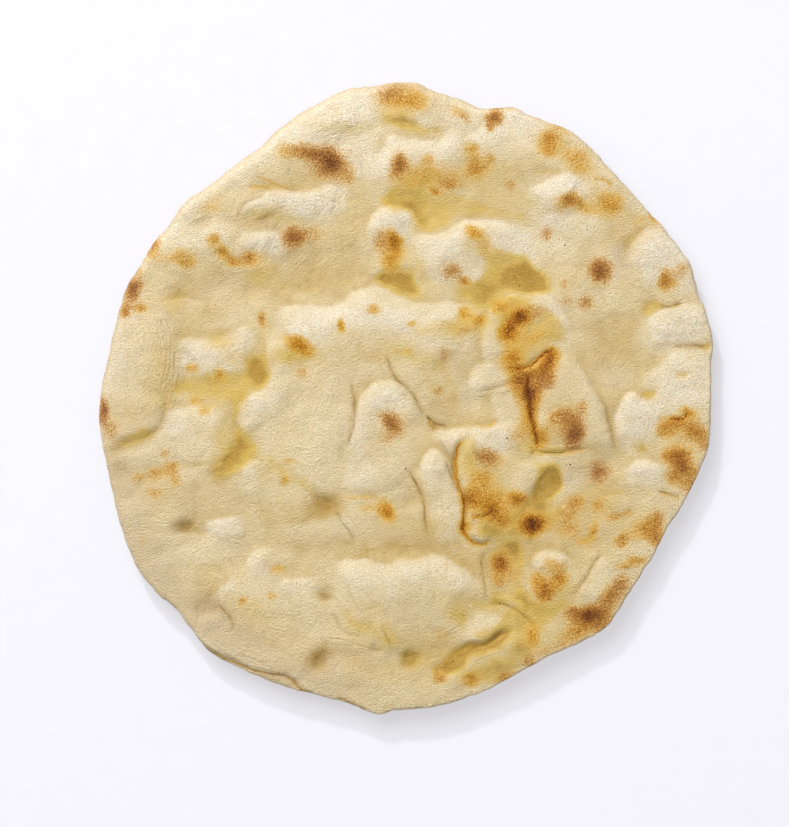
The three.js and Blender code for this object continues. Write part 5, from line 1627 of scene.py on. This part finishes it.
def make_material(name: str, rows: Rows) -> bpy.types.Material:
    """Builds a material from rows of nodes.

    Args:
        name: The material's name.
        rows: For each node its name, kind and settings, and links to the results of rows before it, by name.
            A name that comes again stands for the newer row from there on. The last one is the shader.

    Returns:
        The material.
    """
    material = bpy.data.materials.new(name)
    material.use_nodes = True
    tree = material.node_tree
    tree.nodes.clear()
    made = {"place": add_node(tree, "TexCoord", {}).outputs["Object"]}
    for row, kind, settings, links in rows:
        node = add_node(tree, kind, settings, {socket: made[source] for socket, source in links.items()})
        made[row] = node.outputs[RESULTS.get(row, RESULTS.get(kind, 0))]
    add_node(tree, "OutputMaterial", {}, {"Surface": made["shader"]})
    return material


@dataclass(frozen=True)
class BakedCrust:
    """Floured wheat crust, oven baked: matt and chalky where flour lies, satiny where bare dough browned.

    The grain is the fine pebbling of the skin, about a millimetre across. The speckle is the same grain picked
    out by the heat at the edge of each toasted spot. Painted shade darkens the hollows, creases and pits, and
    painted lightening whitens the crests and the bands of the stretched edges. Sizes in millimetres.
    """

    name: str = "oven_baked_floured_crust"
    cream: str = "#F0DFB8"
    straw: str = "#E4CD97"
    shade: str = "#CFB276"
    # brown of the painted shade in creases and small pits
    pit_shade: str = "#97702A"
    # white of the flour, also of the painted lightening on crests and on the stretched edges' bands
    flour: str = "#FBF1DC"
    yellow: str = "#E2C05A"
    ochre: str = "#AE801B"
    base_brown: str = "#C79E63"
    dusty: tuple[tuple[float, str], ...] = (
        (0.0, "#E2CCA0"), (0.3, "#D1A66E"), (0.55, "#AF7C45"), (0.8, "#84532A"), (1.0, "#502E15"))
    browned: tuple[tuple[float, str], ...] = (
        (0.0, "#EACC80"), (0.25, "#E2B34C"), (0.48, "#CD8E24"), (0.72, "#98560A"), (1.0, "#4A2102"))
    golden: str = "#E2BA62"
    seam: str = "#8C6412"
    edge_skin: str = "#DDCBAD"
    grain: float = 1.3
    speckle: float = 0.75
    crinkle: float = 2.3
    mottle: float = 7.0
    patch: float = 32.0
    pleat_pitch: float = 1.3
    pleat_length: float = 9.0
    bump: float = 0.6
    roughness: float = 0.82
    values: tuple[str, ...] = (
        "toast", "amber", "dense", "flour", "deep", "hollow", "crest", "crease", "dry", "top", "pleat", "line",
        "line_beside", "pleat_run")

    def make(self) -> bpy.types.Material:
        """Builds the material."""
        return make_material(self.name, self.patterns() + self.dough() + self.browning() + self.surface())

    def patterns(self) -> Rows:
        """The painted values and the patterns that the rest reads.

        Returns:
            Their rows.
        """
        painted = ((value, "Attribute", {"attribute_name": value}, {}) for value in self.values)
        sizes = (("grain", self.grain, 3.0, 0.6), ("speckle", self.speckle, 4.0, 0.65),
                 ("mottle", self.mottle, 4.0, 0.6), ("patch", self.patch, 2.0, 0.5))
        noise = ((pattern, "TexNoise", {"Scale": 1 / (size * MM), "Detail": detail, "Roughness": rough},
                  {"Vector": "place"}) for pattern, size, detail, rough in sizes)
        spans = {"From Min": 0.3, "From Max": 0.7, "To Min": 0.5, "To Max": 1.0}
        return (*painted, *noise, ("uneven", "MapRange", spans, {"Value": "mottle"}))

    def dough(self) -> Rows:
        """The colours of the dough and its seams, with their painted shade and painted lightening, before the heat.

        Returns:
            Their rows.
        """
        return (
            # plain dough: cream to straw in wide patches, beige where deep and with painted shade in the hollows,
            # white where floured and with painted lightening on the crests
            ("share", "MapRange", {"From Min": 0.38, "From Max": 0.66}, {"Value": "patch"}),
            ("dough", "Mix", {**RGBA, 6: self.cream, 7: self.straw}, {0: "share"}),
            ("low", "Math", {**TIMES_PLUS, 1: 0.6}, {0: "hollow", 2: "deep"}),
            ("low", "Math", {**TIMES, "use_clamp": True}, {0: "low", 1: "uneven"}),
            ("dough", "Mix", {**RGBA, 7: self.shade}, {0: "low", 6: "dough"}),
            ("high", "Math", {**TIMES, 1: 0.4}, {0: "crest"}),
            ("high", "Math", {**TIMES_PLUS, 1: 0.8}, {0: "flour", 2: "high"}),
            ("high", "Math", {**TIMES, "use_clamp": True}, {0: "high", 1: "uneven"}),
            ("dough", "Mix", {**RGBA, 7: self.flour}, {0: "high", 6: "dough"}),
            # dense dough: yellow, then ochre where it is deepest; painted shade in the creases and small pits adds to
            # the density and lays the brown pit shade colour on
            ("ragged", "Math", {**TIMES_PLUS, 1: 0.5, 2: -0.25}, {0: "mottle"}),
            ("foot", "Math", {**TIMES_PLUS, 1: 0.35}, {0: "crease", 2: "ragged"}),
            ("density", "Math", PLUS, {0: "dense", 1: "foot"}),
            ("pale", "MapRange", {**SMOOTH, "From Min": 0.05, "From Max": 0.7, "To Max": 0.9}, {"Value": "density"}),
            ("full", "MapRange", {**SMOOTH, "From Min": 0.55, "From Max": 1.15, "To Max": 0.85},
             {"Value": "density"}),
            ("dough", "Mix", {**RGBA, 7: self.yellow}, {0: "pale", 6: "dough"}),
            ("dough", "Mix", {**RGBA, 7: self.ochre}, {0: "full", 6: "dough"}),
            ("loose", "Math", {**TIMES_PLUS, 1: -0.75, 2: 1.0}, {0: "dense"}),
            ("sharp", "Math", TIMES, {0: "crease", 1: "uneven"}),
            ("sharp", "Math", TIMES, {0: "sharp", 1: "loose"}),
            ("dough", "Mix", {**RGBA, 7: self.pit_shade}, {0: "sharp", 6: "dough"}),
            # the skin over the edge is dry and duller, and the whole skin is finely mottled
            ("worn", "Math", {**TIMES, 1: 0.75}, {0: "dry"}),
            ("dough", "Mix", {**RGBA, 7: self.edge_skin}, {0: "worn", 6: "dough"}),
            ("fine", "MapRange", {"From Min": 0.4, "From Max": 0.68, "To Max": 0.62}, {"Value": "speckle"}),
            ("dough", "Mix", {**RGBA, 7: self.shade}, {0: "fine", 6: "dough"}),
            # seams: painted shade along each crease, a thin dark line in a softer and broader ochre band
            ("beside", "Math", SIZE_OF, {0: "line_beside"}),
            ("waver", "Math", {**TIMES_PLUS, 1: 0.9, 2: -0.45}, {0: "speckle"}),
            ("beside", "Math", PLUS, {0: "beside", 1: "waver"}),
            ("thin", "MapRange", {**SMOOTH, "From Min": 0.75, "From Max": 0.0}, {"Value": "beside"}),
            ("broken", "MapRange", {"From Min": 0.35, "From Max": 0.6, "To Min": 0.25}, {"Value": "mottle"}),
            ("broken", "Math", TIMES, {0: "broken", 1: "line"}),
            ("thin", "Math", TIMES, {0: "thin", 1: "broken"}),
            ("broad", "MapRange", {**SMOOTH, "From Min": 3.2, "From Max": 0.0, "To Max": 0.3}, {"Value": "beside"}),
            ("broad", "Math", TIMES, {0: "broad", 1: "line"}),
            ("dough", "Mix", {**RGBA, 7: self.ochre}, {0: "broad", 6: "dough"}),
            ("dough", "Mix", {**RGBA, 7: self.seam}, {0: "thin", 6: "dough"}),
            # underside: evenly browned by the oven floor
            ("dough", "Mix", {**RGBA, 6: self.base_brown}, {0: "top", 7: "dough"}),
        )

    def browning(self) -> Rows:
        """Toasting in two browns, dull and amber, broken up into speckles over a golden spread.

        Returns:
            Its rows, which end in the crust's colour.
        """
        return (
            ("spread", "MapRange", {"From Max": 0.35}, {"Value": "toast"}),
            ("broken", "MapRange", {"From Min": 0.38, "From Max": 0.62, "To Min": -0.2, "To Max": 0.2},
             {"Value": "speckle"}),
            ("broken", "Math", TIMES, {0: "broken", 1: "spread"}),
            ("heat", "Math", PLUS, {0: "toast", 1: "broken"}),
            ("golden", "Math", TIMES, {0: "toast", 1: "amber"}),
            ("golden", "MapRange", {**SMOOTH, "From Min": 0.02, "From Max": 0.3, "To Max": 0.75},
             {"Value": "golden"}),
            ("dough", "Mix", {**RGBA, 7: self.golden}, {0: "golden", 6: "dough"}),
            ("dusty", "ValToRGB", {"stops": self.dusty}, {"Fac": "heat"}),
            ("browned", "ValToRGB", {"stops": self.browned}, {"Fac": "heat"}),
            ("brown", "Mix", RGBA, {0: "amber", 6: "dusty", 7: "browned"}),
            ("cover", "MapRange", {**SMOOTH, "From Min": 0.03, "From Max": 0.4}, {"Value": "heat"}),
            ("colour", "Mix", RGBA, {0: "cover", 6: "dough", 7: "brown"}),
        )

    def surface(self) -> Rows:
        """The crust's shine and its finest relief.

        Returns:
            Their rows, which end in the shader.
        """
        return (
            # roughness: chalky flour, satiny browned dough
            ("dull", "Math", {**TIMES_PLUS, 1: 0.16, 2: self.roughness - 0.08}, {0: "grain"}),
            ("shine", "Math", {**TIMES, 1: 0.22}, {0: "cover"}),
            ("rough", "Math", MINUS, {0: "dull", 1: "shine"}),
            # fine pebbling over a slightly coarser one, and crinkles that are strongest where the skin is bare
            ("pebble", "Math", {**TIMES_PLUS, 1: 3.6}, {0: "speckle", 2: "grain"}),
            ("crinkle", "TexNoise", {"Scale": 1 / (self.crinkle * MM), "Detail": 2.0, "Roughness": 0.5,
                                     "Distortion": 1.0}, {"Vector": "place"}),
            ("crinkle", "Math", {**MINUS, 1: 0.5}, {0: "crinkle"}),
            ("crinkle", "Math", SIZE_OF, {0: "crinkle"}),
            ("bare", "Math", {**TIMES_PLUS, 1: 1.2, 2: 0.35}, {0: "deep"}),
            ("crinkle", "Math", TIMES, {0: "crinkle", 1: "bare"}),
            ("pebble", "Math", PLUS, {0: "pebble", 1: "crinkle"}),
            # wrinkles drawn out along their field, and the sunk seams
            ("drawn", "Mapping", {"Scale": (1 / self.pleat_pitch, 1 / self.pleat_length, 1.0)},
             {"Vector": "pleat_run"}),
            ("ridges", "TexNoise", {"Scale": 1.0, "Detail": 2.0}, {"Vector": "drawn"}),
            ("ridges", "Math", TIMES, {0: "ridges", 1: "pleat"}),
            ("pebble", "Math", {**TIMES_PLUS, 1: 3.6}, {0: "ridges", 2: "pebble"}),
            ("pebble", "Math", {**TIMES_PLUS, 1: -0.7}, {0: "thin", 2: "pebble"}),
            ("bump", "Bump", {"Strength": 1.0, "Distance": self.bump * MM}, {"Height": "pebble"}),
            ("shader", "BsdfPrincipled", {
                "IOR": 1.45, "Specular IOR Level": 0.16, "Subsurface Weight": 0.1, "Subsurface Scale": 1.0 * MM,
                "Subsurface Radius": (1.0, 0.55, 0.25), "Sheen Weight": 0.02, "Sheen Roughness": 0.6,
            }, {"Base Color": "colour", "Roughness": "rough", "Normal": "bump"}),
        )


@dataclass(frozen=True)
class CharredFlour:
    """Flour burnt to charcoal on the oven floor: matt, nearly black, with a brown dusty skin.

    The grain is its size in millimetres.
    """

    name: str = "charred_flour"
    black: str = "#2B1D0E"
    brown: str = "#5E4526"
    grain: float = 0.25

    def make(self) -> bpy.types.Material:
        """Builds the material.

        Returns:
            The flecks' material.
        """
        return make_material(self.name, (
            ("grain", "TexNoise", {"Scale": 1 / (self.grain * MM), "Detail": 2.0}, {"Vector": "place"}),
            ("colour", "Mix", {**RGBA, 6: self.black, 7: self.brown}, {0: "grain"}),
            ("rough", "Math", {**TIMES_PLUS, 1: 0.2, 2: 0.75}, {0: "grain"}),
            ("bump", "Bump", {"Strength": 0.6, "Distance": 0.1 * MM}, {"Height": "grain"}),
            ("shader", "BsdfPrincipled", {"IOR": 1.5, "Specular IOR Level": 0.2},
             {"Base Color": "colour", "Roughness": "rough", "Normal": "bump"}),
        ))


@dataclass(frozen=True)
class PaleGround:
    """Opal acrylic light table, sanded matt: lit a little from below, so that a shadow stays pale on it.

    The texture is its unevenness in millimetres.
    """

    name: str = "sanded_opal_acrylic"
    white: str = "#919299"
    shade: str = "#8E8F95"
    lit: str = "#FBFAFF"
    texture: float = 12.0
    glow: float = 0.54

    def make(self) -> bpy.types.Material:
        """Builds the material.

        Returns:
            The ground's material.
        """
        return make_material(self.name, (
            ("uneven", "TexNoise", {"Scale": 1 / (self.texture * MM), "Detail": 2.0}, {"Vector": "place"}),
            ("colour", "Mix", {**RGBA, 6: self.white, 7: self.shade}, {0: "uneven"}),
            ("rough", "Math", {**TIMES_PLUS, 1: 0.1, 2: 0.75}, {0: "uneven"}),
            ("shader", "BsdfPrincipled",
             {"Specular IOR Level": 0.2, "Emission Color": self.lit, "Emission Strength": self.glow},
             {"Base Color": "colour", "Roughness": "rough"}),
        ))


# ---------------------------------------------------------------- sub-assemblies


@dataclass
class BreadBody:
    """The baked base itself: its skin and its finish."""

    skin: Skin = field(default_factory=Skin)
    finish: BakedCrust = field(default_factory=BakedCrust)

    def build(self) -> bpy.types.Object:
        """Models the base, dresses it and hands it to the frame.

        Returns:
            The base.
        """
        base = self.skin.build()
        base.data.materials.append(self.finish.make())
        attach(base, "root")
        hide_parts(NODE)
        return base


@dataclass
class CharFlecks:
    """Crumbs of charred flour, half sunk in the crust. Each has its x, y and breadth in millimetres.

    narrow and flat are shares of the breadth, turn is between one crumb and the next, in radians, and above is
    where the search for the crust starts, in millimetres.
    """

    crumbs: tuple[tuple[float, float, float], ...] = (
        (75.5, 72.3, 0.9), (86, 79.5, 0.7), (54, 53, 0.8), (10.7, -9.5, 1.0), (0, -33.5, 0.9), (70, -10.8, 0.9),
        (67, -14.5, 0.8), (48, -19, 0.9), (44.7, -97.5, 1.0), (78, -31.5, 0.9), (76.2, -31.7, 0.6), (37, -41.5, 0.8),
        (-90, 44, 0.6), (-51, -11, 0.6))
    narrow: float = 0.75
    flat: float = 0.4
    turn: float = 2.4
    above: float = 60.0
    finish: CharredFlour = field(default_factory=CharredFlour)

    def build(self, crust: bpy.types.Object) -> bpy.types.Object:
        """Sets the crumbs in the crust and dresses them.

        Args:
            crust: The base that they lie on.

        Returns:
            The crumbs, as one piece.
        """
        bpy.context.view_layer.update()
        place = Place.of(EDGE)
        bm = bmesh.new()
        for count, (x, y, breadth) in enumerate(self.crumbs):
            _, spot, normal, _ = crust.ray_cast(place.over(x, y, self.above), Vector((0.0, 0.0, -1.0)))
            size = breadth * MM
            lay = normal.to_track_quat("Z", "Y").to_matrix().to_4x4()
            lay = Matrix.Translation(spot) @ lay @ Matrix.Rotation(count * self.turn, 4, "Z")
            lay = lay @ Matrix.Diagonal((size, self.narrow * size, self.flat * size, 1.0))
            bmesh.ops.create_uvsphere(bm, u_segments=8, v_segments=5, radius=0.5, matrix=lay)
        for face in bm.faces:
            face.smooth = True
        mesh = as_mesh(bm, "char_flecks")
        mesh.materials.append(self.finish.make())
        flecks = link(bpy.data.objects.new("char_flecks", mesh))
        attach(flecks, "root")
        return flecks


@dataclass(frozen=True)
class Lamp:
    """A round lamp that faces the base: angles in degrees, distance and size in metres, power in watts."""

    name: str
    bearing: float
    elevation: float
    distance: float
    size: float
    power: float
    tint: tuple[float, float, float]

    def hang(self) -> None:
        """Hangs the lamp in the studio, turned to the base."""
        data = bpy.data.lights.new(self.name, "AREA")
        data.shape = "DISK"
        data.size = self.size
        data.energy = self.power
        data.color = self.tint
        turn, rise = math.radians(self.bearing), math.radians(self.elevation)
        way = Vector((math.cos(turn) * math.cos(rise), math.sin(turn) * math.cos(rise), math.sin(rise)))
        lamp = link(bpy.data.objects.new(self.name, data))
        lamp.location = way * self.distance
        lamp.rotation_euler = way.to_track_quat("Z", "Y").to_euler()


@dataclass
class Studio:
    """The ground, the lights and the camera. Sizes in metres; gap, view_middle and sensor in millimetres."""

    ground_half: float = 3.0
    gap: float = 0.1
    ground: PaleGround = field(default_factory=PaleGround)
    height: float = 1.6
    view_across: float = 0.3938
    view_middle: tuple[float, float] = (-5.2, -7.4)
    sensor: float = 36.0
    lamps: tuple[Lamp, ...] = (
        Lamp("spot_far_left", 112.0, 36.0, 3.2, 0.26, 60.0, (1.0, 0.985, 0.96)),
        Lamp("softbox_far_left", 124.0, 50.0, 3.0, 2.2, 84.0, (1.0, 0.99, 0.975)),
    )
    fill_tint: tuple[float, float, float, float] = (1.0, 0.99, 0.97, 1.0)
    fill_strength: float = 0.52

    def build(self) -> bpy.types.Object:
        """Sets up the studio. The ground lies a gap below the base, so that the two never share a plane.

        Returns:
            The ground.
        """
        bm = bmesh.new()
        under = Matrix.Translation((0.0, 0.0, -self.gap * MM))
        bmesh.ops.create_grid(bm, x_segments=8, y_segments=8, size=self.ground_half, matrix=under)
        mesh = as_mesh(bm, "ground")
        mesh.materials.append(self.ground.make())
        ground = link(bpy.data.objects.new("ground", mesh))
        self.camera()
        self.lights()
        return ground

    def camera(self) -> None:
        """Hangs the camera straight over the base."""
        data = bpy.data.cameras.new("overhead")
        data.sensor_fit = "VERTICAL"
        data.sensor_height = self.sensor
        data.lens = self.sensor * self.height / self.view_across
        camera = link(bpy.data.objects.new("overhead", data))
        camera.location = Place.of(EDGE).over(*self.view_middle, self.height / MM)
        bpy.context.scene.camera = camera

    def lights(self) -> None:
        """Sets the lamps at the far left, and even light from all round."""
        for lamp in self.lamps:
            lamp.hang()
        world = bpy.data.worlds.new("even_light")
        world.use_nodes = True
        background = world.node_tree.nodes["Background"]
        background.inputs["Color"].default_value = self.fill_tint
        background.inputs["Strength"].default_value = self.fill_strength
        bpy.context.scene.world = world
        bpy.context.scene.view_settings.view_transform = "Standard"


def main() -> None:
    """Builds the base and its studio, and notes the sizes."""
    logging.basicConfig(level=logging.INFO, format="%(message)s")
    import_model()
    base = BreadBody().build()
    LOG.info("%s: %d faces", base.name, len(base.data.polygons))
    flecks = CharFlecks().build(base)
    LOG.info("%s: %d faces", flecks.name, len(flecks.data.polygons))
    ground = Studio().build()
    LOG.info("%s: %.1f m square", ground.name, 2 * Studio.ground_half)


if __name__ == "__main__":
    main()
